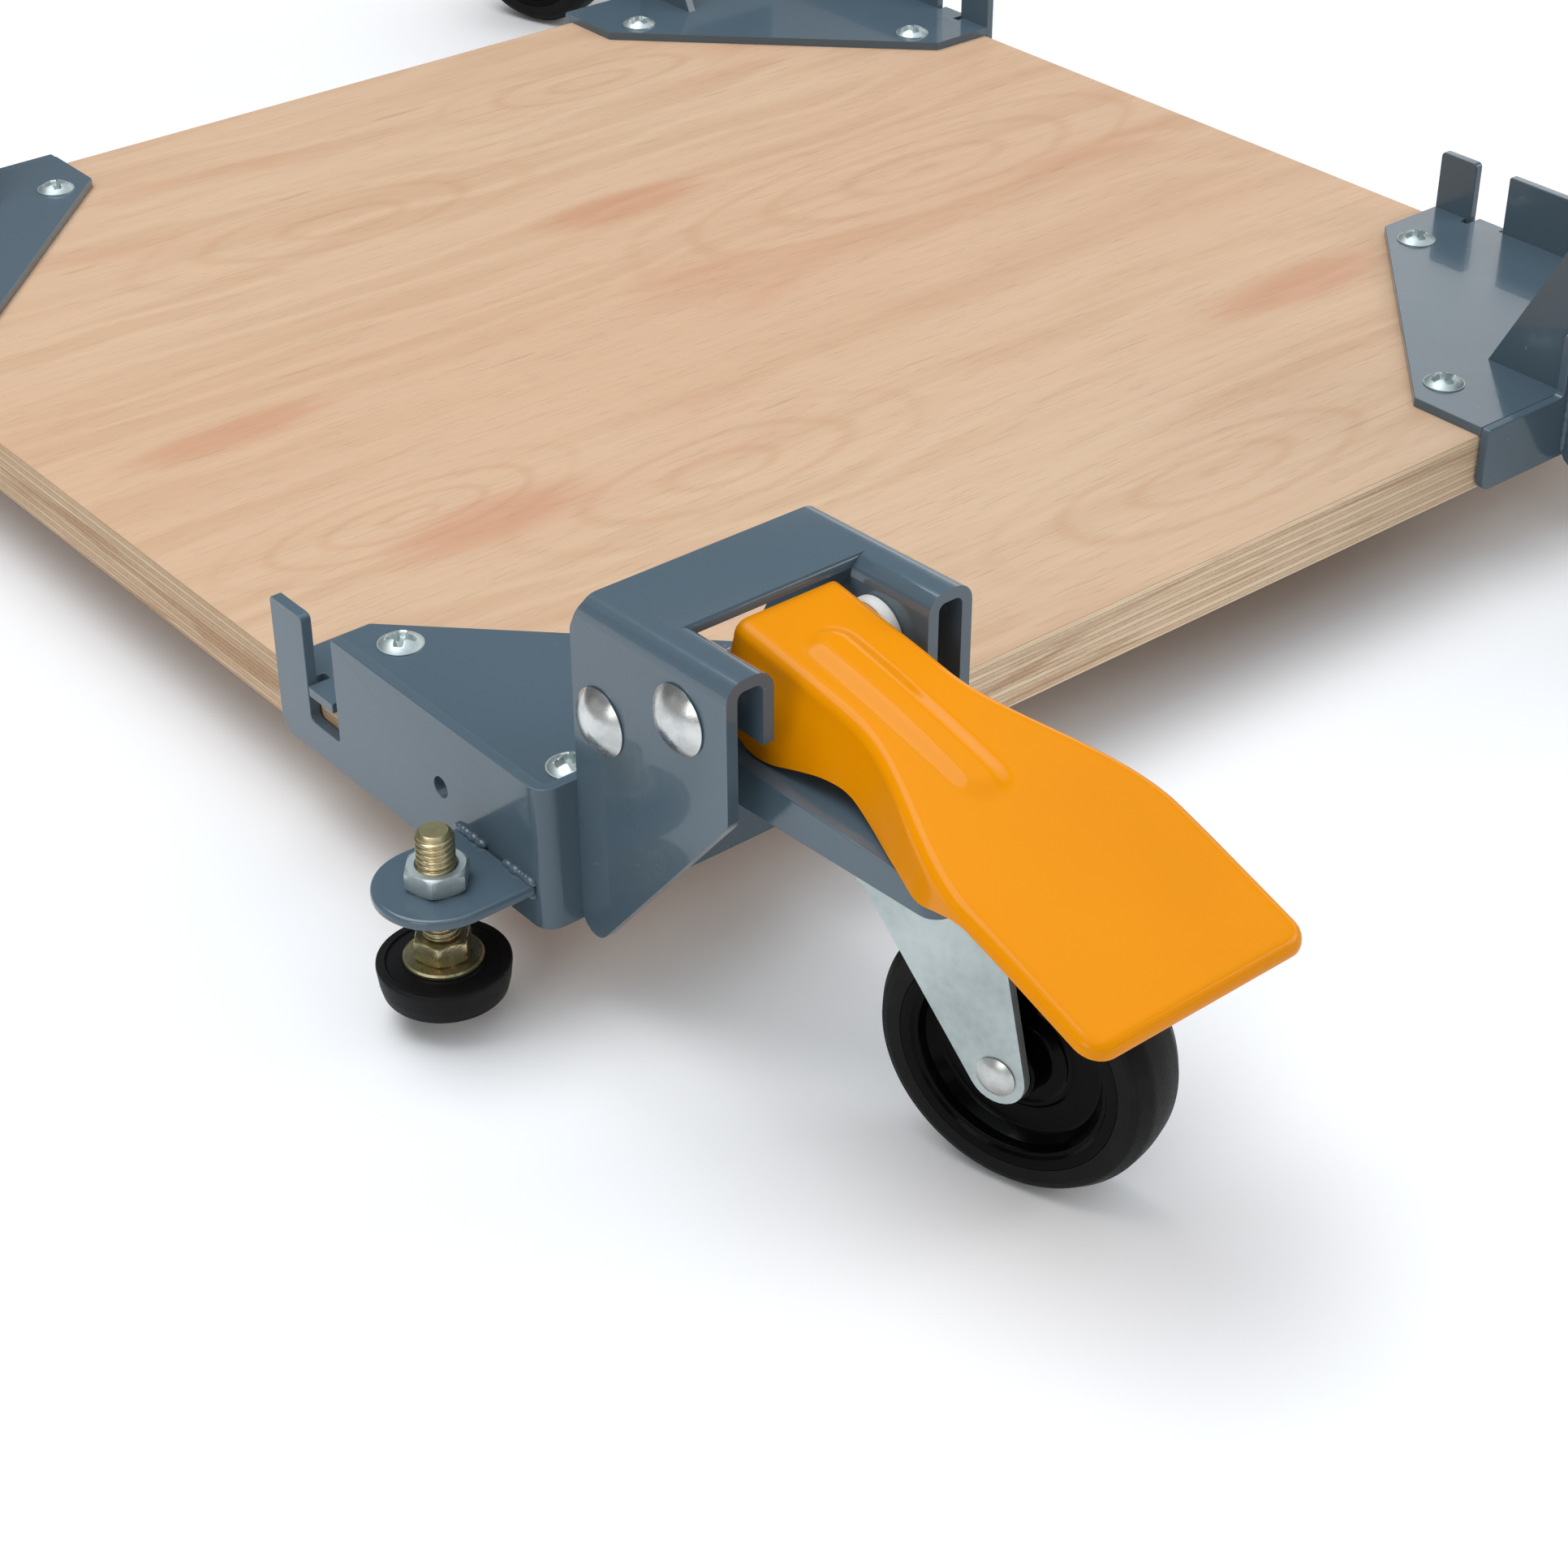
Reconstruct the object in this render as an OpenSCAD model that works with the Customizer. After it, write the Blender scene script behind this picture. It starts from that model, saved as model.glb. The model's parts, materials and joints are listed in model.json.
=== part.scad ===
// Mobile machine base: a plywood platform on four steel corner brackets. Each corner has a
// swivel caster on a hinged arm, a foot pedal that drives the arm, and a levelling foot.
// The object stands on its casters. Origin: on the floor, below the middle of the platform.
// Each corner is drawn once, in a corner frame: x and y run inwards from the platform's
// corner along its edges, z = 0 is the platform's top face, and -y is the pedal's side.

/* [Platform] */
// Width of the platform, along X
platform_w = 450; // [400:5:700]
// Depth of the platform, along Y, from one pedal side to the other
platform_d = 450; // [400:5:900]
// Thickness of the plywood
platform_t = 18; // [16:0.5:25]

/* [Corner bracket] */
// Thickness of the steel sheet
sheet_t = 3; // [2:0.25:4]
// Inside radius of the sheet's bends
bend_r = 2; // [1:0.25:3]
// Length of each bracket leg, measured from the platform's corner
leg_l = 114; // [105:1:140]
// Height of the bracket's wall above the platform
wall_rise = 22.5; // [14:0.5:26]
// How far the wall stops short of the platform's underside
wall_short = 0.5; // [0.5:0.5:3]
// Gap between the wall and the platform's edge
wall_gap = 0.5; // [0.3:0.1:1.5]
// Width of the ear at the end of the side wall
ear_w = 15; // [12:1:24]
// Width of the notch beside the ear
notch_w = 13.5; // [10:0.5:16]
// Height of the strip that joins the ear to the wall
notch_strip = 9.5; // [6:0.5:12]
// Width of the plate's square end, before its diagonal edge
plate_end = 25; // [18:1:35]
// Diameter of the hole in the side wall
wall_hole_d = 5.6; // [4:0.2:8]
// Distance of the hole in the side wall from the platform's corner
wall_hole_y = 39; // [36:1:60]

/* [Wood screws] */
// Diameter of the screw's shank
screw_d = 5; // [4:0.5:6]
// Diameter of the screw's head
screw_head_d = 12.5; // [9:0.5:14]
// Height of the screw's head
screw_head_h = 2.8; // [2:0.2:4]
// Length of the screw below its head
screw_l = 17; // [12:1:19]
// Distance of the corner screw from both platform edges
screw_corner = 25.5; // [18:0.5:28]
// Distance of each end screw from the leg's end
screw_end = 14; // [10:1:18]

/* [Levelling foot] */
// Width of the foot's bracket, which ends in a half circle
foot_bracket_w = 32; // [28:1:40]
// Distance of the foot's axis from the platform's side edge
foot_out = 20.5; // [20:0.5:30]
// Depth of the foot bracket's top face below the platform's top face
foot_bracket_drop = 5; // [3:0.5:8]
// Diameter of the foot's stud
stud_d = 9.5; // [8:0.1:12]
// Height of the stud above the foot bracket
stud_above = 15; // [10:0.5:24]
// Distance from the foot bracket's top face to the pad's underside
foot_reach = 31; // [29:0.5:36]
// Diameter of the rubber pad
pad_d = 33; // [28:1:34]
// Height of the rubber pad
pad_h = 9; // [7:0.5:11]
// Diameter of the round flange on the pad
flange_d = 19.6; // [16:0.2:22]
// Thickness of the round flange on the pad
flange_t = 1.4; // [1:0.2:2]
// Width across the flats of the stud's fixed hexagon
stud_hex = 12.7; // [11:0.1:14]
// Height of the stud's fixed hexagon
stud_hex_h = 6; // [4:0.5:7]
// Width across the flats of the lock nut
lock_nut_af = 14.3; // [13:0.1:19]
// Height of the lock nut
lock_nut_h = 5.6; // [4:0.2:8]

/* [Pedal housing] */
// Distance from the platform's side edge to the housing's outer cheek
housing_x = 7; // [5:0.5:20]
// Width of the housing
housing_w = 70; // [68:1:80]
// Height of the housing's top face above the platform
housing_rise = 73.5; // [72:0.5:80]
// Reach of the housing out from the bracket's wall
housing_reach = 56; // [54:0.5:62]
// Width of each arm of the housing
cheek_w = 13; // [11:0.5:14]
// Width of the bar that joins the two arms, along Y
bar_w = 26; // [22:0.5:30]
// Depth of the inner flaps below the housing's top face
flap_h = 17.5; // [15.5:0.5:20]
// Depth of the cheek's front edge below the housing's top face
cheek_front_h = 35; // [32:1:40]
// How far the cheek's back and sloping edges run below the bracket's wall before they meet
cheek_tip = 11; // [4:0.5:14]
// Slope of the housing's top face, rising outwards, in degrees
housing_slope = 2.5; // [0:0.5:4]
// Distance of the top face's back edge from the bracket's wall
top_back = 3.5; // [0:0.5:6]

/* [Pivot bolts] */
// Diameter of the pivot bolts
bolt_d = 8; // [6:0.5:9]
// Diameter of the bolt's domed head
bolt_head_d = 17; // [13:0.5:18]
// Height of the bolt's domed head
bolt_head_h = 4.2; // [3:0.2:5.5]
// Width across the flats of the bolt's nut
bolt_nut_af = 13; // [12:0.5:16]
// Height of the bolt's nut
bolt_nut_h = 9; // [6.5:0.5:10]
// Diameter of the nylon bush beside the pedal's inner flange
bush_d = 18; // [13:1:20]
// Diameter of the spacer tubes beside the caster arm
spacer_d = 13; // [11:0.5:15]
// Diameter of the spacer tube beside the pedal's outer flange
pedal_spacer_d = 11; // [10:0.5:12]

/* [Pedal] */
// Distance of the pedal's pivot out from the bracket's wall
pedal_pivot_out = 39.5; // [38:0.5:42]
// Depth of the pedal's pivot below the housing's top face
pedal_pivot_drop = 15; // [14:0.5:15.5]
// Thickness of the pedal's sheet
pedal_t = 2.5; // [2:0.25:3]
// Room beside the pedal's neck, between the housing's inner flaps, both sides together
pedal_play = 13; // [10:0.5:16]
// Width of the paddle that the foot presses
paddle_w = 63; // [50:0.5:80]
// Length of the pedal in front of its pivot
pedal_l = 123.5; // [115:1:150]
// Length of the pedal behind its pivot
pedal_tail = 9; // [8:0.5:10]
// Height of the pedal's top face above its pivot
pedal_rise = 10.2; // [9:0.2:11]
// Slope of the pedal's neck, in degrees
neck_slope = 8; // [4:0.5:12]
// Slope of the paddle, in degrees
paddle_slope = 18.5; // [14:0.5:22]
// Radius of the pedal's long edges
pedal_edge_r = 3.1; // [2.8:0.1:3.2]
// Radius of the paddle's front corners, seen from above
paddle_corner_r = 5; // [4:0.5:8]
// Distance of the pedal's centre line from the housing's, towards the platform's middle
pedal_shift = 3; // [0:0.5:4]
// How far the lower edge of the pedal's flange on the corner's side leans out, at the cam
pedal_lean = 5.5; // [0:0.5:6]

/* [Caster arm] */
// Distance of the arm's pivot out from the bracket's wall
arm_pivot_out = 10.5; // [10:0.5:11]
// Depth of the arm's pivot below the housing's top face
arm_pivot_drop = 30; // [28:0.5:30]
// Depth of the arm's walls below its pivot, near the pivot
arm_drop = 12; // [11:0.5:13]
// Height of the arm's walls at its outer end
arm_end_h = 7; // [6:0.5:9]
// Length of the arm, from its pivot to its outer end
arm_l = 98; // [94:1:105]

/* [Caster] */
// Distance of the caster's swivel axis from the arm's pivot
swivel_out = 76.5; // [72:0.5:80]
// Angle at which the caster stands, in degrees
swivel_rest = 16.5; // [0:0.5:30]
// Distance of the axle from the swivel axis
caster_trail = 23; // [18:0.5:28]
// Depth of the axle below the deepest edge of the arm
axle_drop = 40.3; // [39:0.5:46]
// Diameter of the wheel
wheel_d = 70; // [60:1:72]
// Width of the wheel's tread
tread_w = 19; // [16:0.25:20]
// Thickness of the rubber tread
tread_t = 7.5; // [5:0.5:9]
// Width across the fork, over its legs
fork_w = 28; // [26:0.5:32]
// Thickness of the fork's sheet
fork_t = 2.5; // [2:0.25:3]
// Diameter of the axle
axle_d = 6; // [5:0.5:8]
// Diameter of the axle's heads
axle_head_d = 9.8; // [8:0.2:12]
// Diameter of the swivel bearing
bearing_d = 30; // [26:1:36]
// Diameter of the kingpin
kingpin_d = 9; // [7:0.5:10]

/* [Fits] */
// Radial clearance of a pin that turns in its hole
running_fit = 0.05; // [0.03:0.01:0.08]
// Radial clearance of a bolt or screw in a fixed hole
free_fit = 0.1; // [0.05:0.05:0.2]
// Gap between faces that slide past each other
side_gap = 0.15; // [0.1:0.05:0.3]

/* [Hidden] */
$fn = 48;
arc_steps = 6;

// The four corners, as the signs of their x and y
FRONT_LEFT = [-1, -1];
FRONT_RIGHT = [1, -1];
REAR_LEFT = [-1, 1];
REAR_RIGHT = [1, 1];
CORNERS = [FRONT_LEFT, FRONT_RIGHT, REAR_LEFT, REAR_RIGHT];

// The bracket's wall
wall_in = -wall_gap;
wall_out = wall_in - sheet_t;
wall_turn = wall_in + bend_r;
wall_low = wall_short - platform_t;
wall_hole_z = (wall_low + wall_rise) / 2;
notch_low = wall_low + notch_strip;
notch_end = leg_l - ear_w;
notch_start = notch_end - notch_w;
front_step = housing_x + housing_w + sheet_t;
wall_round = 1.6;
wall_end_round = 4;
plate_round = 1.5;
tab_gap = 1.2;
tab_relief = 3;
hole_relief = wall_hole_d / 2 + 1;

// The wood screws, as places on the bracket's plate
screw_places = [
    [screw_corner, screw_corner], [screw_corner, leg_l - screw_end], [leg_l - screw_end, screw_corner]
];
pilot_gap = 1;

// The levelling foot
foot_y = foot_bracket_w / 2;
foot_top = -foot_bracket_drop;
pad_low = foot_top - foot_reach;
pad_top = pad_low + pad_h;
stud_chamfer = 1;
pad_taper = 1;
pad_round = 2.5;

// The housing and its pivots
housing_back = wall_out;
housing_front = housing_back - housing_reach;
housing_mid = housing_x + housing_w / 2;
cut_back = housing_back - top_back - bar_w;
fold_y = housing_back - housing_reach / 2;
flap_low = housing_rise - flap_h;
fold_r = bend_r + sheet_t;
pedal_pivot_y = housing_back - pedal_pivot_out;
pedal_pivot_z = housing_rise - pedal_pivot_drop;
arm_pivot_y = housing_back - arm_pivot_out;
arm_pivot_z = housing_rise - arm_pivot_drop;
bolt_end = 1;
brace_foot = 27.5;
brace_drop = 9;
cheek_round = 5;

// The caster arm: a channel that is open downwards, as wide as the space between the flaps
arm_w = housing_w - 2 * cheek_w;
arm_in = arm_w - 2 * sheet_t;
pedal_w = arm_w - pedal_play;
pedal_mid = housing_mid + pedal_shift;
arm_low = arm_pivot_z - arm_drop;
arm_top = arm_pivot_z;
web_low = arm_top - sheet_t;
arm_front = arm_pivot_y - arm_l;
arm_eye_r = bolt_d / 2 + 4.5;
arm_round = 5;
arm_open = 14;

// The pedal's cam stops just above the arm's top face
cam_gap = 0.5;
cam_depth = pedal_rise + pedal_pivot_z - arm_top - cam_gap;
flange_mid = 15.7;
neck_end = 28;
flare_end = 84;
bend_start = 15;
bend_l = 85;
lip_h = 3.5;
lip_step = 0.25;
pedal_edge_in = pedal_edge_r - pedal_t;

// The caster
swivel_y = arm_pivot_y - swivel_out;
axle_z = arm_low - axle_drop;
deck_z = wheel_d / 2 - axle_z;
fork_top = arm_low - 2 * side_gap;
bearing_t = web_low - fork_top - 2 * side_gap;
leg_r = 7.2;
leg_back = 13.7;
leg_front = 22.4;
wheel_r = wheel_d / 2;
hub_r = wheel_r - tread_t;
hub_recess_r = hub_r - 4.3;
hub_recess = 5.5;
boss_r = 8;
pin_head_t = 1.8;

// A polygon whose corners are rounded: each corner is [x, y, radius]
function unit(v) = v / norm(v);
function corner_arc(before, corner, after, r) =
    let (
        u = unit(before - corner),
        v = unit(after - corner),
        half = acos(max(-1, min(1, u * v))) / 2,
        mid = corner + unit(u + v) * r / sin(half),
        a0 = atan2((corner + u * r / tan(half) - mid)[1], (corner + u * r / tan(half) - mid)[0]),
        a1 = atan2((corner + v * r / tan(half) - mid)[1], (corner + v * r / tan(half) - mid)[0]),
        turn = a1 - a0 > 180 ? a1 - a0 - 360 : a1 - a0 < -180 ? a1 - a0 + 360 : a1 - a0
    )
    [for (i = [0:arc_steps]) mid + r * [cos(a0 + turn * i / arc_steps), sin(a0 + turn * i / arc_steps)]];
function rounded(points) =
    let (n = len(points))
    [for (i = [0:n - 1])
        let (
            p = points[i],
            q = points[(i + n - 1) % n],
            s = points[(i + 1) % n]
        )
        each (p[2] == 0 ? [[p[0], p[1]]] : corner_arc([q[0], q[1]], [p[0], p[1]], [s[0], s[1]], p[2]))];

// Where a line from a point touches a circle; side is 1 or -1
function touch(point, centre, r, side) =
    let (
        d = norm(point - centre),
        a = atan2(point[1] - centre[1], point[0] - centre[0]) + side * acos(r / d)
    )
    centre + r * [cos(a), sin(a)];

// Moves a corner's pieces from the corner frame to one of the four corners
module at_corner(signs) {
    mirror([signs[0] > 0 ? 1 : 0, 0, 0])
        mirror([0, signs[1] > 0 ? 1 : 0, 0])
            translate([-platform_w / 2, -platform_d / 2, deck_z])
                children();
}
module at_corners() {
    for (signs = CORNERS) at_corner(signs) children();
}

// Turns an outline in y and z into a plate that faces x
module side_plate(x, t, points) {
    translate([x, 0, 0]) rotate([90, 0, 90]) linear_extrude(height = t) polygon(points);
}

// A cylinder along x
module bar(x, y, z, l, r) {
    translate([x, y, z]) rotate([0, 90, 0]) cylinder(h = l, r = r);
}
module hex_post(l, across) {
    cylinder(h = l, d = across / cos(30), $fn = 6);
}

module platform() {
    color("burlywood") difference() {
        translate([-platform_w / 2, -platform_d / 2, deck_z - platform_t])
            cube([platform_w, platform_d, platform_t]);
        at_corners() for (place = screw_places)
            translate([place[0], place[1], sheet_t - screw_l - pilot_gap])
                cylinder(h = screw_l + pilot_gap, r = screw_d / 2 + free_fit);
    }
}

// The screw's head is low and domed, with a cross recess
module wood_screw() {
    dome_r = (pow(screw_head_d / 2, 2) + pow(screw_head_h, 2)) / (2 * screw_head_h);
    difference() {
        union() {
            intersection() {
                translate([0, 0, screw_head_h - dome_r]) sphere(r = dome_r);
                cylinder(h = screw_head_h, d = screw_head_d);
            }
            translate([0, 0, -screw_l + screw_d]) cylinder(h = screw_l - screw_d, d = screw_d);
            translate([0, 0, -screw_l]) cylinder(h = screw_d, d1 = 1, d2 = screw_d);
        }
        for (turn = [0, 90]) rotate([0, 0, turn])
            translate([-screw_head_d / 4, -0.5, screw_head_h / 2])
                cube([screw_head_d / 2, 1, screw_head_h]);
    }
}
module wood_screws() {
    color("silver") at_corners() for (place = screw_places)
        translate([place[0], place[1], sheet_t]) wood_screw();
}

// The side wall with its notch and ear, seen along x: y to the right, z up
function side_wall_outline() = rounded([
    [wall_turn, wall_low, 0],
    [leg_l, wall_low, wall_end_round],
    [leg_l, wall_rise, wall_round],
    [notch_end, wall_rise, wall_round],
    [notch_end, notch_low, wall_round],
    [notch_start, notch_low, wall_round / 2],
    [notch_start, wall_rise, wall_round / 2],
    [wall_turn, wall_rise, 0]
]);
// The front wall drops to the plate's level beyond the housing
function front_wall_outline() = rounded([
    [wall_turn, wall_low, 0],
    [leg_l, wall_low, wall_end_round],
    [leg_l, sheet_t, wall_round / 2],
    [front_step, sheet_t, wall_round],
    [front_step, wall_rise, wall_round],
    [wall_turn, wall_rise, 0]
]);
module bracket_wall() {
    color("slategray") {
        difference() {
            side_plate(wall_out, sheet_t, side_wall_outline());
            bar(wall_out - 1, wall_hole_y, wall_hole_z, sheet_t + 2, wall_hole_d / 2);
        }
        mirror([1, -1, 0]) side_plate(wall_out, sheet_t, front_wall_outline());
        translate([wall_turn, wall_turn, wall_low]) rotate([0, 0, 180])
            rotate_extrude(angle = 90) translate([bend_r, 0]) square([sheet_t, wall_rise - wall_low]);
    }
}

// The plate lies on the platform; a tab of it shows in the side wall's notch
function plate_outline() = rounded([
    [wall_in, wall_in, bend_r],
    [leg_l, wall_in, 0],
    [leg_l, plate_end, plate_round],
    [plate_end, leg_l, plate_round],
    [wall_in, leg_l, 0]
]);
module bracket_plate() {
    tab_l = notch_w - 2 * tab_gap;
    color("slategray") difference() {
        linear_extrude(height = sheet_t) difference() {
            union() {
                polygon(plate_outline());
                translate([wall_out - wall_gap, notch_start + tab_gap])
                    square([sheet_t + 2 * wall_gap, tab_l]);
            }
            translate([wall_in - 1, notch_end - tab_gap]) square([tab_relief + 1, tab_relief]);
            translate([wall_in, wall_hole_y]) circle(r = hole_relief);
        }
        for (place = screw_places) translate([place[0], place[1], -1])
            cylinder(h = sheet_t + 2, r = screw_d / 2 + free_fit);
    }
}

module foot_bracket() {
    color("slategray") translate([0, 0, foot_top - sheet_t]) difference() {
        union() {
            translate([-foot_out, foot_y, 0]) cylinder(h = sheet_t, d = foot_bracket_w);
            translate([-foot_out, 0, 0]) cube([foot_out + wall_out, foot_bracket_w, sheet_t]);
        }
        translate([-foot_out, foot_y, -1]) cylinder(h = sheet_t + 2, r = stud_d / 2 + running_fit);
    }
}
module lock_nuts() {
    color("gainsboro") at_corners() translate([-foot_out, foot_y, foot_top]) rotate([0, 0, 18])
        nut(lock_nut_h, lock_nut_af, stud_d);
}
// A nut's corners are turned off at both faces
module nut(h, across, hole_d) {
    corner_r = across / 2 / cos(30);
    cut = (corner_r - across / 2) / 2;
    difference() {
        intersection() {
            hex_post(h, across);
            rotate_extrude() polygon([
                [0, 0], [across / 2, 0], [corner_r, cut], [corner_r, h - cut], [across / 2, h], [0, h]
            ]);
        }
        translate([0, 0, -1]) cylinder(h = h + 2, r = hole_d / 2 + running_fit);
    }
}
module foot_stud() {
    stud_top = stud_above + foot_reach - pad_h;
    r = stud_d / 2;
    color("darkkhaki") translate([-foot_out, foot_y, pad_top]) {
        rotate_extrude() polygon([
            [0, 0], [flange_d / 2, 0], [flange_d / 2, flange_t], [r, flange_t],
            [r, stud_top - stud_chamfer], [r - stud_chamfer, stud_top], [0, stud_top]
        ]);
        translate([0, 0, flange_t]) rotate([0, 0, 18]) hex_post(stud_hex_h, stud_hex);
    }
}
module foot_pad() {
    color("dimgray") translate([-foot_out, foot_y, pad_low]) rotate_extrude() polygon(rounded([
        [0, 0, 0],
        [pad_d / 2 - pad_taper, 0, pad_round],
        [pad_d / 2, pad_h, pad_taper],
        [0, pad_h, 0]
    ]));
}

// The housing is one folded sheet: two outer cheeks, a top with a cut-out, two inner flaps.
// The cheeks' edges at the back, the front and the taper are straight in this outline.
function cheek_outline() =
    let (low = wall_low - cheek_tip, over = housing_rise + fold_r)
    rounded([
        [housing_back - top_back, over, 0],
        [housing_back - top_back, housing_rise - fold_r / 2, 0],
        [housing_back, housing_rise - 2 * fold_r, fold_r],
        [housing_back, low, cheek_round],
        [housing_front, housing_rise - cheek_front_h, fold_r],
        [housing_front, over, 0]
    ]);
// The folded sheet seen along y, from one outer cheek to the other
module folded_top(x0, x1, low) {
    difference() {
        polygon(rounded([[x0, low, 0], [x0, 0, fold_r], [x1, 0, fold_r], [x1, low, 0]]));
        polygon(rounded([
            [x0 + sheet_t, low - 1, 0],
            [x0 + sheet_t, -sheet_t, bend_r],
            [x1 - sheet_t, -sheet_t, bend_r],
            [x1 - sheet_t, low - 1, 0]
        ]));
    }
}
module along_y(y0, y1) {
    translate([0, y1, 0]) rotate([90, 0, 0]) linear_extrude(height = y1 - y0) children();
}
// Behind the wall, the inner cheek runs on as a brace that stands on the bracket's plate
function brace_outline() = [
    [housing_back - 1, wall_rise + 2 * side_gap],
    [0, wall_rise + 2 * side_gap],
    [0, sheet_t],
    [brace_foot, sheet_t],
    [housing_back - 1, housing_rise - brace_drop]
];
module housing() {
    x0 = housing_x;
    x1 = housing_x + housing_w;
    low = wall_low - cheek_tip - housing_rise - 5;
    bar_front = fold_y - cut_back;
    color("slategray") difference() {
        intersection() {
            translate([0, fold_y, housing_rise]) rotate([-housing_slope, 0, 0]) {
                along_y(-bar_front, housing_reach) folded_top(x0, x1, low);
                along_y(-housing_reach, -bar_front) {
                    folded_top(x0, x0 + cheek_w, low);
                    folded_top(x1 - cheek_w, x1, low);
                }
            }
            side_plate(x0 - 1, housing_w + 2, cheek_outline());
        }
        translate([x0 + sheet_t, housing_front - 1, wall_low - cheek_tip - 1])
            cube([housing_w - 2 * sheet_t, housing_reach + 2, flap_low - wall_low + cheek_tip + 1]);
        bar(x0 - 1, pedal_pivot_y, pedal_pivot_z, housing_w + 2, bolt_d / 2 + free_fit);
        bar(x0 - 1, arm_pivot_y, arm_pivot_z, housing_w + 2, bolt_d / 2 + free_fit);
    }
    color("slategray") side_plate(x1 - sheet_t, sheet_t, brace_outline());
}

module pivot_bolt(y, z) {
    dome_r = (pow(bolt_head_d / 2, 2) + pow(bolt_head_h, 2)) / (2 * bolt_head_h);
    translate([housing_x, y, z]) rotate([0, -90, 0]) intersection() {
        translate([0, 0, bolt_head_h - dome_r]) sphere(r = dome_r);
        cylinder(h = bolt_head_h, d = bolt_head_d);
    }
    bar(housing_x, y, z, housing_w + bolt_nut_h + bolt_end, bolt_d / 2);
}
module pivot_bolts() {
    color("silver") at_corners() {
        pivot_bolt(pedal_pivot_y, pedal_pivot_z);
        pivot_bolt(arm_pivot_y, arm_pivot_z);
    }
}
module pivot_nut(y, z) {
    translate([housing_x + housing_w, y, z]) rotate([0, 90, 0]) nut(bolt_nut_h, bolt_nut_af, bolt_d);
}
module pivot_nuts() {
    color("gainsboro") at_corners() {
        pivot_nut(pedal_pivot_y, pedal_pivot_z);
        pivot_nut(arm_pivot_y, arm_pivot_z);
    }
}
// A ring round a bolt, between the faces x0 and x1, clear of both
module ring(x0, x1, y, z, d) {
    difference() {
        bar(x0, y, z, x1 - x0, d / 2);
        bar(x0 - 1, y, z, x1 - x0 + 2, bolt_d / 2 + free_fit);
    }
}
module nylon_bushes() {
    far = housing_x + housing_w - cheek_w;
    color("whitesmoke") at_corners()
        ring(pedal_mid + pedal_w / 2 + side_gap, far, pedal_pivot_y, pedal_pivot_z, bush_d);
}
module spacer_tubes() {
    inner = housing_x + sheet_t;
    far = housing_x + housing_w - sheet_t;
    pedal_side = pedal_mid - pedal_w / 2 - 0.7 * pedal_lean - side_gap;
    color("silver") at_corners() {
        ring(inner, housing_mid - arm_w / 2 - side_gap, arm_pivot_y, arm_pivot_z, spacer_d);
        ring(housing_mid + arm_w / 2 + side_gap, far, arm_pivot_y, arm_pivot_z, spacer_d);
        ring(housing_x + cheek_w, pedal_side, pedal_pivot_y, pedal_pivot_z, pedal_spacer_d);
    }
}

// The pedal is lofted through sections across it. d is the distance in front of its pivot
function ease(t) = t <= 0 ? 0 : t >= 1 ? 1 : t * t * (3 - 2 * t);
function round_off(d, r) = d >= r ? 0 : r - sqrt(max(0, r * r - pow(r - max(d, 0), 2)));
function pedal_top(d) =
    let (
        over = max(0, d - bend_start),
        bent = min(over, bend_l),
        more = tan(paddle_slope) - tan(neck_slope)
    )
    pedal_rise - d * tan(neck_slope) - more * (bent * bent / (2 * bend_l) + over - bent);
function pedal_half(d) =
    pedal_w / 2 + (paddle_w - pedal_w) / 2 * ease((d - neck_end) / (flare_end - neck_end));
// Depth of the side flanges: a cam below the pivot, shallower at the neck, a lip round the paddle
function flange_depth(d) = lookup(d, [
    [-pedal_tail, cam_depth - 4.8],
    [-6, cam_depth - 3.6],
    [-3, cam_depth - 2.3],
    [0, cam_depth - 1.1],
    [3, cam_depth - 0.4],
    [9, cam_depth - 1.3],
    [17, cam_depth * 0.81],
    [25, cam_depth * 0.69],
    [33, flange_mid - 0.2],
    [43, flange_mid + 0.5],
    [52, flange_mid],
    [61, flange_mid - 2],
    [70, flange_mid - 3.4],
    [flare_end - 5, lip_h + 2.5],
    [flare_end, lip_h]
]);
// How far the lower edge on the corner's side leans out
function lean(d) = pedal_lean * flange_depth(d) / cam_depth * (1 - ease((d - 9) / (flare_end - 14)));
// Half of one section's edge, from its lower corner to the middle of its top
function section_side(half, out, d, top, low, r) = concat(
    [[half + out, -d, low]],
    [for (i = [0:arc_steps])
        let (a = 90 * i / arc_steps)
        [half - r + r * cos(a), -d, top - r + r * sin(a)]]
);
function flip_x(points) = [for (i = [len(points) - 1:-1:0]) [-points[i][0], points[i][1], points[i][2]]];
function turned_round(points) = [for (i = [len(points) - 1:-1:0]) points[i]];
function there_and_back(half, d, top, low, r) = concat(
    section_side(half, 0, d, top, low, r), flip_x(section_side(half, lean(d), d, top, low, r))
);
// A section is a U: outside there, inside back
function pedal_section(d, half_in, top_in, r_in) =
    let (
        half = pedal_half(d) - round_off(pedal_l - d, paddle_corner_r),
        top = pedal_top(d) - round_off(pedal_l - d, pedal_t),
        low = pedal_top(d) - flange_depth(d),
        r = min(pedal_edge_r, top - low - lip_step / 2)
    )
    concat(
        there_and_back(half, d, top, low, r),
        turned_round(there_and_back(half_in, d, top_in, low, r_in))
    );
module loft(sections) {
    n = len(sections[0]);
    m = len(sections);
    polyhedron(
        points = [for (s = sections) each s],
        faces = concat(
            [[for (i = [0:n - 1]) i]],
            [[for (i = [0:n - 1]) n * m - 1 - i]],
            [for (k = [0:m - 2]) for (i = [0:n - 1]) each [
                [k * n + i, (k + 1) * n + (i + 1) % n, k * n + (i + 1) % n],
                [k * n + i, (k + 1) * n + i, (k + 1) * n + (i + 1) % n]
            ]]
        ),
        convexity = 6
    );
}
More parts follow.
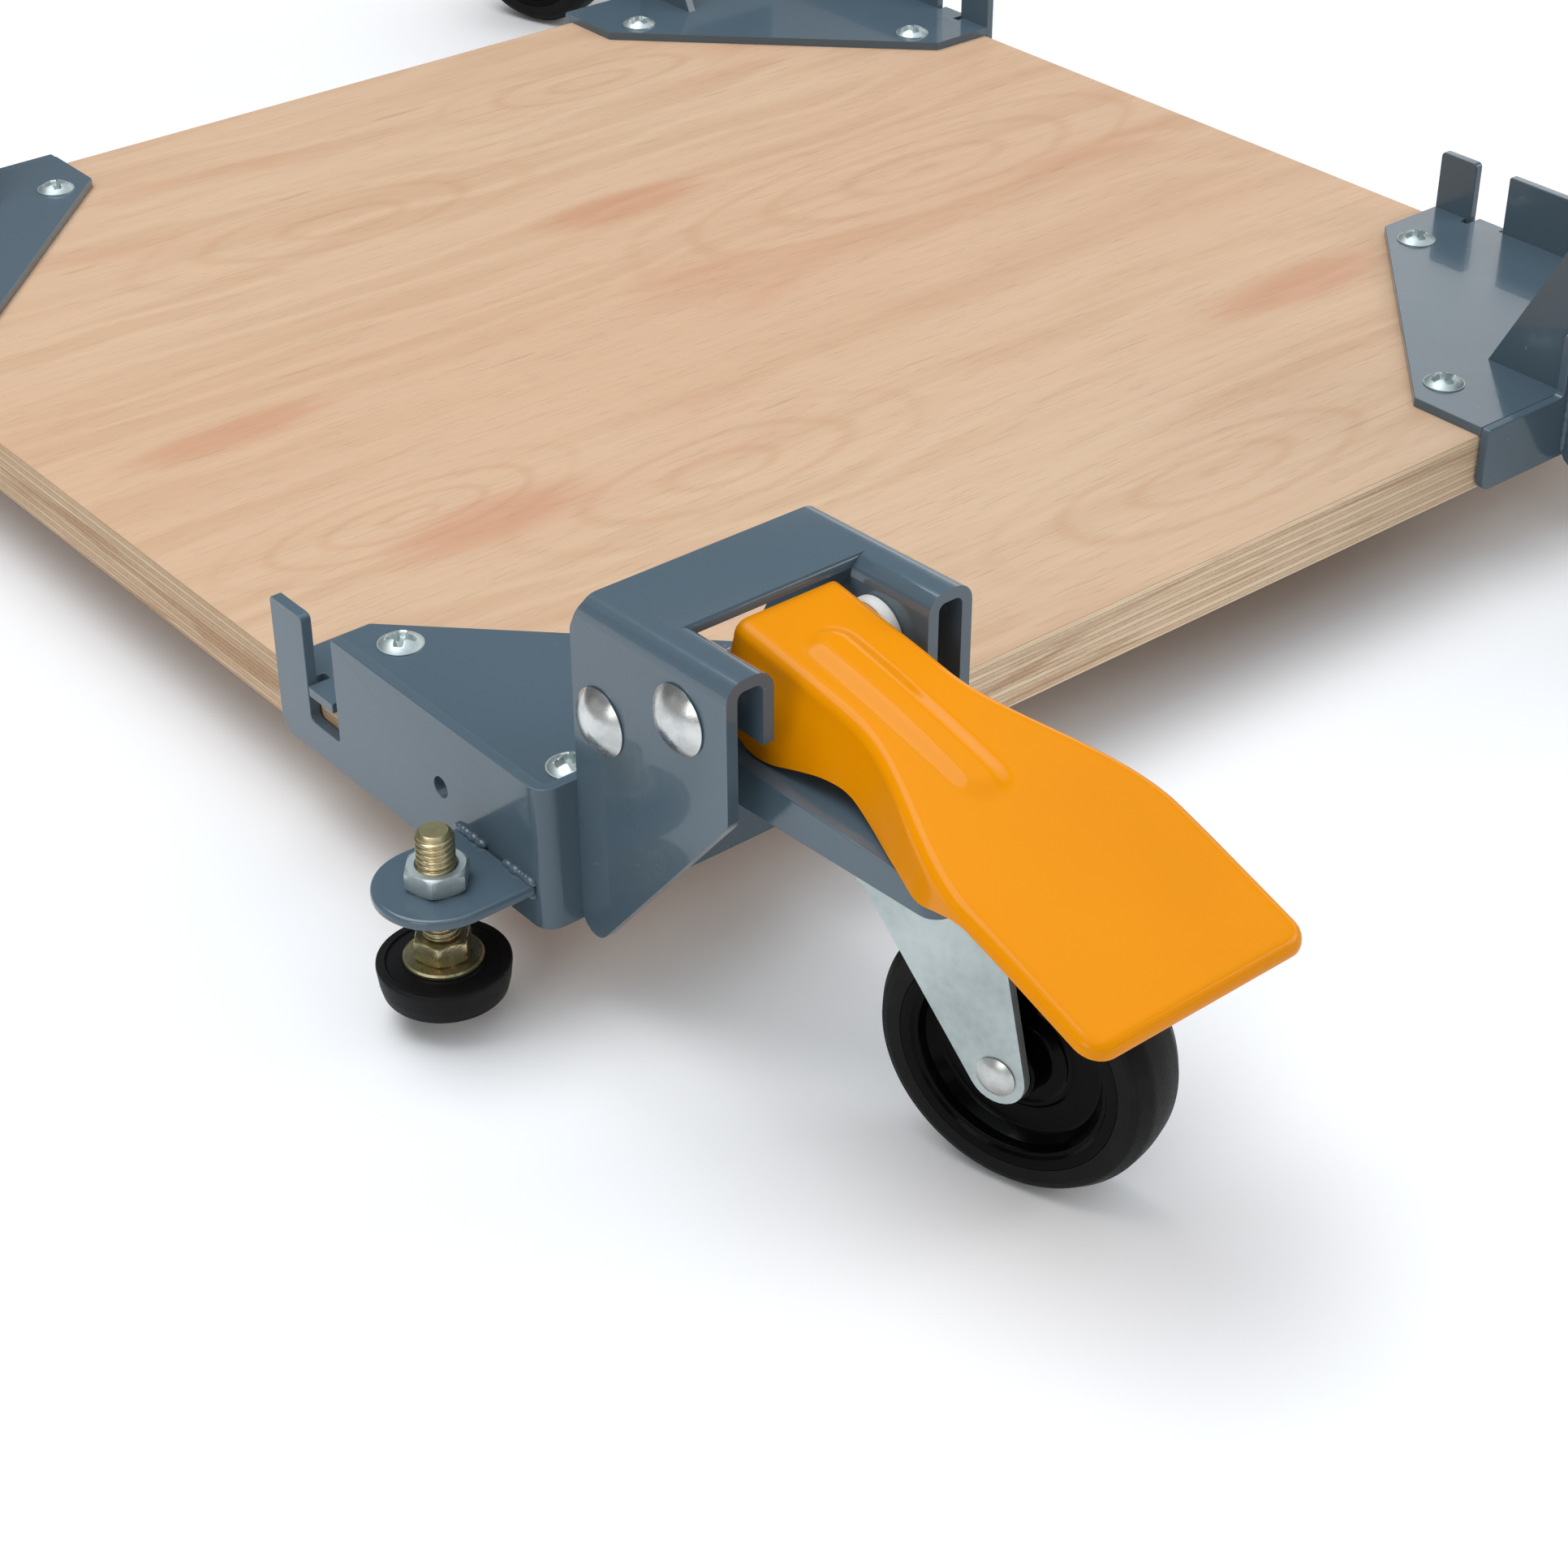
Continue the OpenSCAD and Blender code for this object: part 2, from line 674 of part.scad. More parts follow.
function pedal_body() =
    let (corner_in = paddle_corner_r - pedal_t, last = pedal_l - pedal_t)
    [for (d = [
        -pedal_tail, -6, -3, 0, 3, 9, 17, 25, 33, 38, 43, 48, 52, 56.5, 61, 65.5, 70, flare_end - 5,
        flare_end, flare_end + 8, bend_start + bend_l, last - corner_in, last - corner_in / 4, last
    ])
        let (half_in = pedal_half(d) - pedal_t - round_off(last - d, corner_in))
        pedal_section(d, half_in, pedal_top(d) - pedal_t, pedal_edge_in)];
// The front lip, where the section is full
function pedal_front() =
    [for (left = [pedal_t - lip_step, pedal_t * 0.6, pedal_t * 0.3, pedal_t * 0.1, 0])
        let (d = pedal_l - left, half_in = pedal_half(d) - paddle_corner_r - 1)
        pedal_section(d, half_in, pedal_top(d) - flange_depth(d) + lip_step, lip_step / 2)];
module pedal() {
    color("darkorange") translate([pedal_mid, pedal_pivot_y, pedal_pivot_z]) difference() {
        loft(concat(pedal_body(), pedal_front()));
        bar(-pedal_w, 0, 0, 2 * pedal_w, bolt_d / 2 + running_fit);
    }
}

// The arm's walls rise round its pivot and get lower towards the caster
function arm_outline() =
    let (
        eye = [arm_pivot_y, arm_pivot_z],
        knee = [arm_pivot_y - 2 * arm_eye_r, arm_top],
        heel = [arm_pivot_y - 2 * arm_eye_r, arm_low],
        upper = touch(knee, eye, arm_eye_r, -1),
        lower = touch(heel, eye, arm_eye_r, 1),
        a0 = atan2(lower[1] - eye[1], lower[0] - eye[0]),
        a1 = atan2(upper[1] - eye[1], upper[0] - eye[0]),
        turn = a1 - a0 < 0 ? a1 - a0 + 360 : a1 - a0,
        step = turn / 2 / arc_steps
    )
    concat(
        [for (i = [0:2 * arc_steps]) eye + arm_eye_r * [cos(a0 + step * i), sin(a0 + step * i)]],
        [knee, [arm_front, arm_top], [arm_front, arm_top - arm_end_h], heel]
    );
// The arm's outline seen from above, smaller by the inset
module arm_plan(inset, round_r) {
    x0 = housing_mid - arm_w / 2 + inset;
    x1 = housing_mid + arm_w / 2 - inset;
    polygon(rounded([
        [x0, arm_pivot_y + 20, 0],
        [x1, arm_pivot_y + 20, 0],
        [x1, arm_front + inset, round_r],
        [x0, arm_front + inset, round_r]
    ]));
}
module arm() {
    x0 = housing_mid - arm_w / 2;
    color("slategray") difference() {
        intersection() {
            side_plate(x0, arm_w, arm_outline());
            translate([0, 0, arm_low - 5]) linear_extrude(height = 60) arm_plan(0, arm_round);
        }
        translate([0, 0, arm_low - 10]) linear_extrude(height = web_low - arm_low + 10)
            arm_plan(sheet_t, bend_r);
        translate([x0 + sheet_t, arm_pivot_y - arm_open, web_low - 1]) cube([arm_in, arm_open + 16, 20]);
        bar(x0 - 1, arm_pivot_y, arm_pivot_z, arm_w + 2, bolt_d / 2 + running_fit);
        translate([housing_mid, swivel_y, web_low - 1])
            cylinder(h = sheet_t + 2, r = kingpin_d / 2 + free_fit);
    }
}

// The swivel: a bearing disc under the arm, on a kingpin that is riveted at both ends
module swivel() {
    pin_r = kingpin_d / 2;
    head_r = pin_r + 3;
    low = fork_top - fork_t - side_gap;
    color("silver") translate([housing_mid, swivel_y, 0]) rotate_extrude() polygon([
        [0, low - pin_head_t], [head_r, low - pin_head_t], [head_r, low], [pin_r, low],
        [pin_r, web_low - bearing_t], [bearing_d / 2, web_low - bearing_t], [bearing_d / 2, web_low],
        [pin_r, web_low], [pin_r, arm_top], [head_r, arm_top], [head_r - 1, arm_top + pin_head_t],
        [0, arm_top + pin_head_t]
    ]);
}

// The caster's own frame: its swivel axis at the origin, its axle at -y
module at_caster() {
    translate([housing_mid, swivel_y, 0]) rotate([0, 0, swivel_rest]) children();
}
function leg_outline() =
    let (
        axle = [-caster_trail, axle_z],
        back = [leg_back, fork_top],
        front = [-leg_front, fork_top],
        b = touch(back, axle, leg_r, -1),
        f = touch(front, axle, leg_r, 1),
        a0 = atan2(b[1] - axle[1], b[0] - axle[0]),
        a1 = atan2(f[1] - axle[1], f[0] - axle[0]),
        turn = a1 - a0 > 0 ? a1 - a0 - 360 : a1 - a0,
        step = turn / 2 / arc_steps
    )
    concat(
        [front, back],
        [for (i = [0:2 * arc_steps]) axle + leg_r * [cos(a0 + step * i), sin(a0 + step * i)]]
    );
module fork() {
    color("silver") at_caster() difference() {
        union() {
            for (x = [-fork_w / 2, fork_w / 2 - fork_t]) side_plate(x, fork_t, leg_outline());
            translate([0, 0, fork_top - fork_t]) cylinder(h = fork_t, d = bearing_d);
            translate([-fork_w / 2, -leg_front, fork_top - fork_t])
                cube([fork_w, leg_front + leg_back, fork_t]);
        }
        translate([0, 0, fork_top - fork_t - 1]) cylinder(h = fork_t + 2, r = kingpin_d / 2 + running_fit);
        bar(-fork_w, -caster_trail, axle_z, 2 * fork_w, axle_d / 2 + free_fit);
    }
}
module axle() {
    half = fork_w / 2;
    color("silver") at_caster() translate([0, -caster_trail, axle_z]) rotate([0, 90, 0]) {
        translate([0, 0, -half]) cylinder(h = fork_w, d = axle_d);
        translate([0, 0, half]) axle_head();
        mirror([0, 0, 1]) translate([0, 0, half]) axle_head();
    }
}
module axle_head() {
    h = 2;
    dome_r = (pow(axle_head_d / 2, 2) + h * h) / (2 * h);
    intersection() {
        translate([0, 0, h - dome_r]) sphere(r = dome_r);
        cylinder(h = h, d = axle_head_d);
    }
}
module at_wheel() {
    at_caster() translate([0, -caster_trail, axle_z]) rotate([0, 90, 0]) children();
}
module hub() {
    bore = axle_d / 2 + running_fit;
    half = tread_w / 2;
    boss = fork_w / 2 - fork_t - side_gap;
    color("dimgray") at_wheel() rotate_extrude() polygon([
        [bore, -boss], [boss_r, -boss], [boss_r + 1, -half + hub_recess],
        [hub_recess_r, -half + hub_recess], [hub_recess_r + 1, -half], [hub_r, -half],
        [hub_r, half], [hub_recess_r + 1, half], [hub_recess_r, half - hub_recess],
        [boss_r + 1, half - hub_recess], [boss_r, boss], [bore, boss]
    ]);
}
module tread() {
    half = tread_w / 2;
    shoulder = 3;
    color("dimgray") at_wheel() rotate_extrude($fn = 72) polygon(rounded([
        [hub_r + 0.01, -half, 0],
        [wheel_r - shoulder / 2, -half, shoulder],
        [wheel_r, -half / 3, shoulder],
        [wheel_r, half / 3, shoulder],
        [wheel_r - shoulder / 2, half, shoulder],
        [hub_r + 0.01, half, 0]
    ]));
}

platform();
wood_screws();
pivot_bolts();
pivot_nuts();
lock_nuts();
nylon_bushes();
spacer_tubes();
at_corner(FRONT_LEFT) bracket_wall();  // bracket_wall_front_left
at_corner(FRONT_RIGHT) bracket_wall();  // bracket_wall_front_right
at_corner(REAR_LEFT) bracket_wall();  // bracket_wall_rear_left
at_corner(REAR_RIGHT) bracket_wall();  // bracket_wall_rear_right
at_corner(FRONT_LEFT) bracket_plate();  // bracket_plate_front_left
at_corner(FRONT_RIGHT) bracket_plate();  // bracket_plate_front_right
at_corner(REAR_LEFT) bracket_plate();  // bracket_plate_rear_left
at_corner(REAR_RIGHT) bracket_plate();  // bracket_plate_rear_right
at_corner(FRONT_LEFT) foot_bracket();  // foot_bracket_front_left
at_corner(FRONT_RIGHT) foot_bracket();  // foot_bracket_front_right
at_corner(REAR_LEFT) foot_bracket();  // foot_bracket_rear_left
at_corner(REAR_RIGHT) foot_bracket();  // foot_bracket_rear_right
at_corner(FRONT_LEFT) housing();  // housing_front_left
at_corner(FRONT_RIGHT) housing();  // housing_front_right
at_corner(REAR_LEFT) housing();  // housing_rear_left
at_corner(REAR_RIGHT) housing();  // housing_rear_right
at_corner(FRONT_LEFT) pedal();  // pedal_front_left
at_corner(FRONT_RIGHT) pedal();  // pedal_front_right
at_corner(REAR_LEFT) pedal();  // pedal_rear_left
at_corner(REAR_RIGHT) pedal();  // pedal_rear_right
at_corner(FRONT_LEFT) arm();  // arm_front_left
at_corner(FRONT_RIGHT) arm();  // arm_front_right
at_corner(REAR_LEFT) arm();  // arm_rear_left
at_corner(REAR_RIGHT) arm();  // arm_rear_right
at_corner(FRONT_LEFT) swivel();  // swivel_front_left
at_corner(FRONT_RIGHT) swivel();  // swivel_front_right
at_corner(REAR_LEFT) swivel();  // swivel_rear_left
at_corner(REAR_RIGHT) swivel();  // swivel_rear_right
at_corner(FRONT_LEFT) fork();  // fork_front_left
at_corner(FRONT_RIGHT) fork();  // fork_front_right
at_corner(REAR_LEFT) fork();  // fork_rear_left
at_corner(REAR_RIGHT) fork();  // fork_rear_right
at_corner(FRONT_LEFT) axle();  // axle_front_left
at_corner(FRONT_RIGHT) axle();  // axle_front_right
at_corner(REAR_LEFT) axle();  // axle_rear_left
at_corner(REAR_RIGHT) axle();  // axle_rear_right
at_corner(FRONT_LEFT) hub();  // hub_front_left
at_corner(FRONT_RIGHT) hub();  // hub_front_right
at_corner(REAR_LEFT) hub();  // hub_rear_left
at_corner(REAR_RIGHT) hub();  // hub_rear_right
at_corner(FRONT_LEFT) tread();  // tread_front_left
at_corner(FRONT_RIGHT) tread();  // tread_front_right
at_corner(REAR_LEFT) tread();  // tread_rear_left
at_corner(REAR_RIGHT) tread();  // tread_rear_right
at_corner(FRONT_LEFT) foot_stud();  // stud_front_left
at_corner(FRONT_RIGHT) foot_stud();  // stud_front_right
at_corner(REAR_LEFT) foot_stud();  // stud_rear_left
at_corner(REAR_RIGHT) foot_stud();  // stud_rear_right
at_corner(FRONT_LEFT) foot_pad();  // pad_front_left
at_corner(FRONT_RIGHT) foot_pad();  // pad_front_right
at_corner(REAR_LEFT) foot_pad();  // pad_rear_left
at_corner(REAR_RIGHT) foot_pad();  // pad_rear_right
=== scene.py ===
import json
import math

import bmesh
import bpy
import numpy as np
from bpy.props import FloatProperty, FloatVectorProperty, IntProperty, PointerProperty
from mathutils import Euler, Matrix, Vector


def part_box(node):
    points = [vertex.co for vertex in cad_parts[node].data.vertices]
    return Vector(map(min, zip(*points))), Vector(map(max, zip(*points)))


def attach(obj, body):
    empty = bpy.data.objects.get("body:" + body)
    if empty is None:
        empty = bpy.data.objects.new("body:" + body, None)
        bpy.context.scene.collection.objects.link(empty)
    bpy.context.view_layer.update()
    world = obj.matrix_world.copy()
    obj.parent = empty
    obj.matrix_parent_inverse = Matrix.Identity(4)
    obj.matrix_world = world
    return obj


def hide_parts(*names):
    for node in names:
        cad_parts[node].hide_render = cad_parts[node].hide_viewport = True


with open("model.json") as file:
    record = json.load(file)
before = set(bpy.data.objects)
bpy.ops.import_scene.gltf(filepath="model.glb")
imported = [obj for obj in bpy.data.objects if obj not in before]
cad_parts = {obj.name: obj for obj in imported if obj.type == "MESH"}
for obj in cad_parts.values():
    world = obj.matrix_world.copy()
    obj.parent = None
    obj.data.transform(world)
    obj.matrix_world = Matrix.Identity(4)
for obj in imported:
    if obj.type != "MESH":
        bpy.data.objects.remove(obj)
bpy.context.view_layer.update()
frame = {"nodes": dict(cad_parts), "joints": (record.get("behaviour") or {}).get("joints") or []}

bl_info = {
    "name": "Mobile machine base",
    "version": (1, 0, 0),
    "blender": (4, 5, 0),
    "location": "3D View > Sidebar > Machine Base",
    "description": "Dresses the packed model of a mobile machine base with its sheet metal, casters, "
                   "feet and plywood",
    "category": "Mesh",
}

MM = 0.001
SIGNS = {"front_left": (-1, -1), "front_right": (1, -1), "rear_left": (-1, 1), "rear_right": (1, 1)}
BOARD_LOW, BOARD_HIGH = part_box("platform")
DECK = BOARD_HIGH.z / MM
BOARD_W = (BOARD_HIGH.x - BOARD_LOW.x) / MM
BOARD_D = (BOARD_HIGH.y - BOARD_LOW.y) / MM
BOARD_T = (BOARD_HIGH.z - BOARD_LOW.z) / MM


def corner_box(node):
    """Low and high corners, in mm, of a front left CAD node, in the corner's own frame."""
    low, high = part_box(node + "_front_left")
    shift = Vector((BOARD_W / 2, BOARD_D / 2, -DECK))
    return low / MM + shift, high / MM + shift


PEDAL_LOW, PEDAL_HIGH = corner_box("pedal")
HOUSING_LOW, HOUSING_HIGH = corner_box("housing")
PAD_LOW, PAD_HIGH = corner_box("pad")
_, STUD_HIGH = corner_box("stud")
ARM_LOW, ARM_HIGH = corner_box("arm")
BRACKET_LOW, BRACKET_HIGH = corner_box("foot_bracket")
_, SWIVEL_HIGH = corner_box("swivel")


def joint_place(name):
    """A joint's position in mm, in the front left corner's own frame."""
    joint = next(j for j in frame["joints"] if j["name"] == name + "_front_left")
    place = Vector(joint["pos_m"]) / MM
    return place + Vector((BOARD_W / 2, BOARD_D / 2, -DECK)), Vector(joint["axis"])


PEDAL_PIVOT, _ = joint_place("pedal_lift")
ARM_PIVOT, _ = joint_place("arm_lift")
SWIVEL, _ = joint_place("swivel_turn")
AXLE, AXLE_AXIS = joint_place("wheel_spin")
AXLE_ANGLE = math.atan2(AXLE_AXIS.y, AXLE_AXIS.x)
FOOT = Vector(((PAD_LOW.x + PAD_HIGH.x) / 2, (PAD_LOW.y + PAD_HIGH.y) / 2, 0))


# Sizes and colours that a user can change

class SheetMetalSettings(bpy.types.PropertyGroup):
    """Sizes of the folded sheet's finish"""
    edge_round: FloatProperty(
        name="Edge rounding", description="Radius that the powder coat gives to the sheet's cut edges",
        default=0.0011, min=0.0002, max=0.0014, subtype="DISTANCE", unit="LENGTH")
    weld_width: FloatProperty(
        name="Weld width", description="Width of a weld bead across its seam",
        default=0.0042, min=0.002, max=0.007, subtype="DISTANCE", unit="LENGTH")
    weld_pitch: FloatProperty(
        name="Weld pitch", description="Distance between two ripples of a weld bead",
        default=0.0015, min=0.0008, max=0.004, subtype="DISTANCE", unit="LENGTH")


class PedalSettings(bpy.types.PropertyGroup):
    """Sizes of the pressed pedal"""
    bead_height: FloatProperty(
        name="Bead height", description="Height of the pressed bead above the pedal's top face",
        default=0.0016, min=0.0, max=0.002, subtype="DISTANCE", unit="LENGTH")
    bead_width: FloatProperty(
        name="Bead width", description="Width of the pressed bead across the pedal",
        default=0.013, min=0.006, max=0.018, subtype="DISTANCE", unit="LENGTH")


class FootSettings(bpy.types.PropertyGroup):
    """Sizes of the levelling foot's thread"""
    thread_pitch: FloatProperty(
        name="Thread pitch", description="Distance between two turns of the stud's thread",
        default=0.00159, min=0.001, max=0.0025, subtype="DISTANCE", unit="LENGTH")
    thread_depth: FloatProperty(
        name="Thread depth", description="Depth of the stud's thread",
        default=0.0007, min=0.0003, max=0.0012, subtype="DISTANCE", unit="LENGTH")


class FinishSettings(bpy.types.PropertyGroup):
    """Colours of the finishes"""
    blue: FloatVectorProperty(
        name="Bracket coat", description="Powder coat of the brackets, housings and arms",
        default=(0.074, 0.111, 0.141), size=3, min=0, max=1, subtype="COLOR")
    orange: FloatVectorProperty(
        name="Pedal coat", description="Powder coat of the pedals",
        default=(0.74, 0.252, 0.0), size=3, min=0, max=1, subtype="COLOR")
    wood: FloatVectorProperty(
        name="Plywood", description="Pale colour of the plywood's face veneer",
        default=(0.575, 0.372, 0.235), size=3, min=0, max=1, subtype="COLOR")
    veneer_plies: IntProperty(
        name="Plies", description="Number of veneers in the plywood", default=13, min=5, max=15)


# Shader and geometry maths

class Value:
    """A node socket, or a number, that Python's operators add Math nodes to."""

    def __init__(self, graph, socket):
        self.graph, self.socket = graph, socket

    def _maths(self, operation, *others, clamp=False):
        node = self.graph.tree.nodes.new("ShaderNodeMath")
        node.operation, node.use_clamp = operation, clamp
        for k, value in enumerate((self, *others)):
            self.graph.plug(node.inputs[k], value)
        return Value(self.graph, node.outputs[0])

    def __add__(self, other):
        return self._maths("ADD", other)

    def __radd__(self, other):
        return self._maths("ADD", other)

    def __sub__(self, other):
        return self._maths("SUBTRACT", other)

    def __rsub__(self, other):
        return self.graph.number(other)._maths("SUBTRACT", self)

    def __mul__(self, other):
        return self._maths("MULTIPLY", other)

    def __rmul__(self, other):
        return self._maths("MULTIPLY", other)

    def __truediv__(self, other):
        return self._maths("DIVIDE", other)

    def __pow__(self, other):
        return self._maths("POWER", other)

    def sin(self):
        return self._maths("SINE")

    def cos(self):
        return self._maths("COSINE")

    def fract(self):
        return self._maths("FRACT")

    def size(self):
        return self._maths("ABSOLUTE")

    def ping(self, length):
        return self._maths("PINGPONG", length)

    def above(self, other):
        return self._maths("GREATER_THAN", other)

    def clamped(self):
        return self._maths("ADD", 0.0, clamp=True)

    def step(self, low, high, to_low=0.0, to_high=1.0):
        """Rises smoothly from to_low to to_high as the value goes from low to high."""
        return self.graph.node(
            "ShaderNodeMapRange", {"interpolation_type": "SMOOTHSTEP"}, [self, low, high, to_low, to_high])


class Number(Value):
    """A plain number, held back until a node needs it."""

    def __init__(self, graph, number):
        super().__init__(graph, None)
        self.number = number


class Graph:
    """One node tree, with short ways to add and link its nodes."""

    def __init__(self, tree):
        self.tree = tree

    def number(self, value):
        return value if isinstance(value, Value) else Number(self, value)

    def plug(self, entry, value):
        if isinstance(value, Number):
            entry.default_value = value.number
        elif isinstance(value, Value):
            self.tree.links.new(value.socket, entry)
        else:
            entry.default_value = value

    def node(self, kind, settings=None, values=None, out=0):
        """Adds a node: its settings first, then its sockets by place or name. Returns one output."""
        node = self.tree.nodes.new(kind)
        for key, value in (settings or {}).items():
            if key == "stops":
                ramp = node.color_ramp
                while len(ramp.elements) < len(value):
                    ramp.elements.new(0.5)
                for element, (place, colour) in zip(ramp.elements, value):
                    element.position = place
                    element.color = (*colour, 1)
            else:
                setattr(node, key, value)
        pairs = values.items() if isinstance(values, dict) else enumerate(values or [])
        for key, value in pairs:
            if value is not None:
                self.plug(node.inputs[key], value)
        return Value(self, node.outputs[out])

    def noise(self, place, scale, detail=4.0, rough=0.5, distortion=0.0):
        return self.node("ShaderNodeTexNoise", None, {
            "Vector": place, "Scale": scale, "Detail": detail, "Roughness": rough, "Distortion": distortion})

    def cells(self, place, scale):
        return self.node("ShaderNodeTexVoronoi", None, {"Vector": place, "Scale": scale})

    def stretch(self, place, scale, move=(0, 0, 0), turn=(0, 0, 0)):
        return self.node("ShaderNodeMapping", None, {
            "Vector": place, "Location": move, "Rotation": turn, "Scale": scale})

    def blend(self, share, a, b):
        node = self.tree.nodes.new("ShaderNodeMix")
        node.data_type = "RGBA"
        for key, value in ((0, share), (6, a), (7, b)):
            if isinstance(value, tuple) and len(value) == 3:
                value = (*value, 1)
            self.plug(node.inputs[key], value)
        return Value(self, node.outputs[2])

    def axes(self, place):
        node = self.tree.nodes.new("ShaderNodeSeparateXYZ")
        self.plug(node.inputs[0], place)
        return [Value(self, s) for s in node.outputs]


class Finish(Graph):
    """A material with one Principled shader."""

    def __init__(self, name):
        self.material = bpy.data.materials.new(name)
        self.material.use_nodes = True
        super().__init__(self.material.node_tree)
        self.shader = next(n for n in self.tree.nodes if n.type == "BSDF_PRINCIPLED")
        self.place = self.node("ShaderNodeTexCoord", out=3)

    def set(self, **values):
        for key, value in values.items():
            entry = self.shader.inputs[key.replace("_", " ")]
            if isinstance(value, tuple) and len(value) == 3 and entry.type == "RGBA":
                value = (*value, 1)
            self.plug(entry, value)
        return self

    def bump(self, height, distance, strength=1.0):
        self.set(Normal=self.node("ShaderNodeBump", None, {
            "Height": height, "Distance": distance, "Strength": strength}))
        return self


def colours():
    return bpy.context.scene.base_finish


def coat(name, colour, edge_colour, peel, shine=1.0):
    """Glossy powder coat: orange peel, a few rubbed spots and dust, under a clear skin."""
    f = Finish(name)
    soft = f.noise(f.place, 14.0, 3.0)
    dust = f.noise(f.place, 900.0, 2.0)
    rub = f.noise(f.place, 210.0, 5.0, 0.7)
    mark = rub.step(0.66, 0.74) * f.noise(f.place, 35.0, 2.0).step(0.52, 0.62)
    base = f.blend(soft.step(0.35, 0.7, 0.0, 0.35), colour, tuple(c * 0.86 for c in colour))
    base = f.blend(mark * 0.55, base, edge_colour)
    ripple = f.noise(f.place, 330.0, 1.5, 0.4)
    rough = soft.step(0.3, 0.75, 0.17, 0.26) + mark * 0.2 + dust.step(0.6, 0.8, 0.0, 0.05)
    f.set(Base_Color=base, Roughness=rough, IOR=1.45, Specular_IOR_Level=0.35 * shine)
    f.set(Coat_Weight=0.4 * shine, Coat_Roughness=0.04)
    f.bump(ripple + dust * 0.06, peel)
    return f.material


def bright_zinc():
    """Barrel-plated bolts and nuts: nearly bright, with soft blotches and turning marks."""
    f = Finish("bright zinc")
    cloud = f.noise(f.place, 160.0, 4.0, 0.6)
    grime = f.noise(f.place, 60.0, 5.0, 0.65).step(0.56, 0.75)
    base = f.blend(cloud.step(0.3, 0.7), (0.66, 0.67, 0.66), (0.5, 0.51, 0.5))
    base = f.blend(grime * 0.35, base, (0.22, 0.21, 0.19))
    f.set(Base_Color=base, Metallic=1.0, Roughness=cloud.step(0.3, 0.7, 0.2, 0.32) + grime * 0.15)
    f.bump(f.noise(f.place, 700.0, 3.0), 0.00003)
    return f.material


def dull_zinc():
    """Zinc-plated caster sheet: pale, with a fine spangle and drawn scratches."""
    f = Finish("dull zinc")
    cloud = f.noise(f.place, 45.0, 5.0, 0.6)
    spangle = f.cells(f.place, 420.0)
    scratch = f.noise(f.stretch(f.place, (60, 60, 1500)), 1.0, 2.0)
    base = f.blend(cloud.step(0.3, 0.72), (0.52, 0.585, 0.58), (0.36, 0.42, 0.42))
    base = f.blend(spangle.step(0.1, 0.8, 0.0, 0.14), base, (0.68, 0.73, 0.71))
    f.set(Base_Color=base, Metallic=0.85, Roughness=cloud.step(0.3, 0.7, 0.36, 0.48) + scratch * 0.06)
    f.bump(scratch + spangle * 0.3, 0.00004)
    return f.material


def yellow_zinc():
    """Yellow passivated thread: olive and gold films over zinc, with oil in the roots."""
    f = Finish("yellow zinc")
    film = f.noise(f.place, 120.0, 4.0, 0.65)
    oil = f.noise(f.place, 420.0, 4.0, 0.7).step(0.5, 0.7)
    base = f.blend(film.step(0.34, 0.62), (0.56, 0.45, 0.26), (0.33, 0.31, 0.17))
    base = f.blend(oil * 0.5, base, (0.16, 0.13, 0.08))
    f.set(Base_Color=base, Metallic=0.95, Roughness=film.step(0.3, 0.7, 0.24, 0.38) + oil * 0.15)
    f.bump(f.noise(f.place, 900.0, 3.0), 0.00003)
    return f.material


def rubber(name, colour, dusty):
    """Black moulded rubber with a fine grain and a bloom of dust."""
    f = Finish(name)
    grain = f.noise(f.place, 1500.0, 3.0, 0.6)
    bloom = f.noise(f.place, 55.0, 5.0, 0.6).step(0.45, 0.75)
    specks = f.cells(f.place, 330.0).step(0.05, 0.12, 1.0, 0.0)
    specks = specks * f.noise(f.place, 90.0, 2.0).step(0.56, 0.66)
    base = f.blend(bloom * dusty, colour, (0.035, 0.035, 0.034))
    base = f.blend(specks * 0.4, base, (0.22, 0.22, 0.21))
    f.set(Base_Color=base, Roughness=grain.step(0.2, 0.8, 0.42, 0.58) + bloom * 0.08)
    f.set(IOR=1.45, Specular_IOR_Level=0.14)
    f.bump(grain, 0.00006)
    return f.material


def moulded_plastic(name, colour, shine, gloss=0.5):
    """Injection-moulded plastic with a faint flow pattern."""
    f = Finish(name)
    flow = f.noise(f.place, 38.0, 3.0, 0.5, 0.6)
    f.set(Base_Color=f.blend(flow.step(0.3, 0.7), colour, tuple(c * 0.8 for c in colour)))
    f.set(Roughness=flow.step(0.3, 0.7, shine, shine + 0.12), IOR=1.49, Specular_IOR_Level=gloss)
    f.bump(f.noise(f.place, 1200.0, 2.0), 0.00003)
    return f.material


# Cathedral figures and pink heart spots on the face veneer: their middles, half lengths and half widths, in m
FIGURES = [(-0.07, -0.1, 0.08, 0.032), (0.035, -0.19, 0.09, 0.03), (-0.155, -0.065, 0.06, 0.02),
           (0.12, 0.03, 0.11, 0.036), (-0.06, 0.12, 0.09, 0.03), (0.08, 0.17, 0.08, 0.025)]
HEART_SPOTS = [(-0.14, -0.082, 0.032, 0.011), (-0.17, 0.01, 0.03, 0.008), (0.15, -0.12, 0.035, 0.01),
               (0.02, 0.07, 0.03, 0.01)]


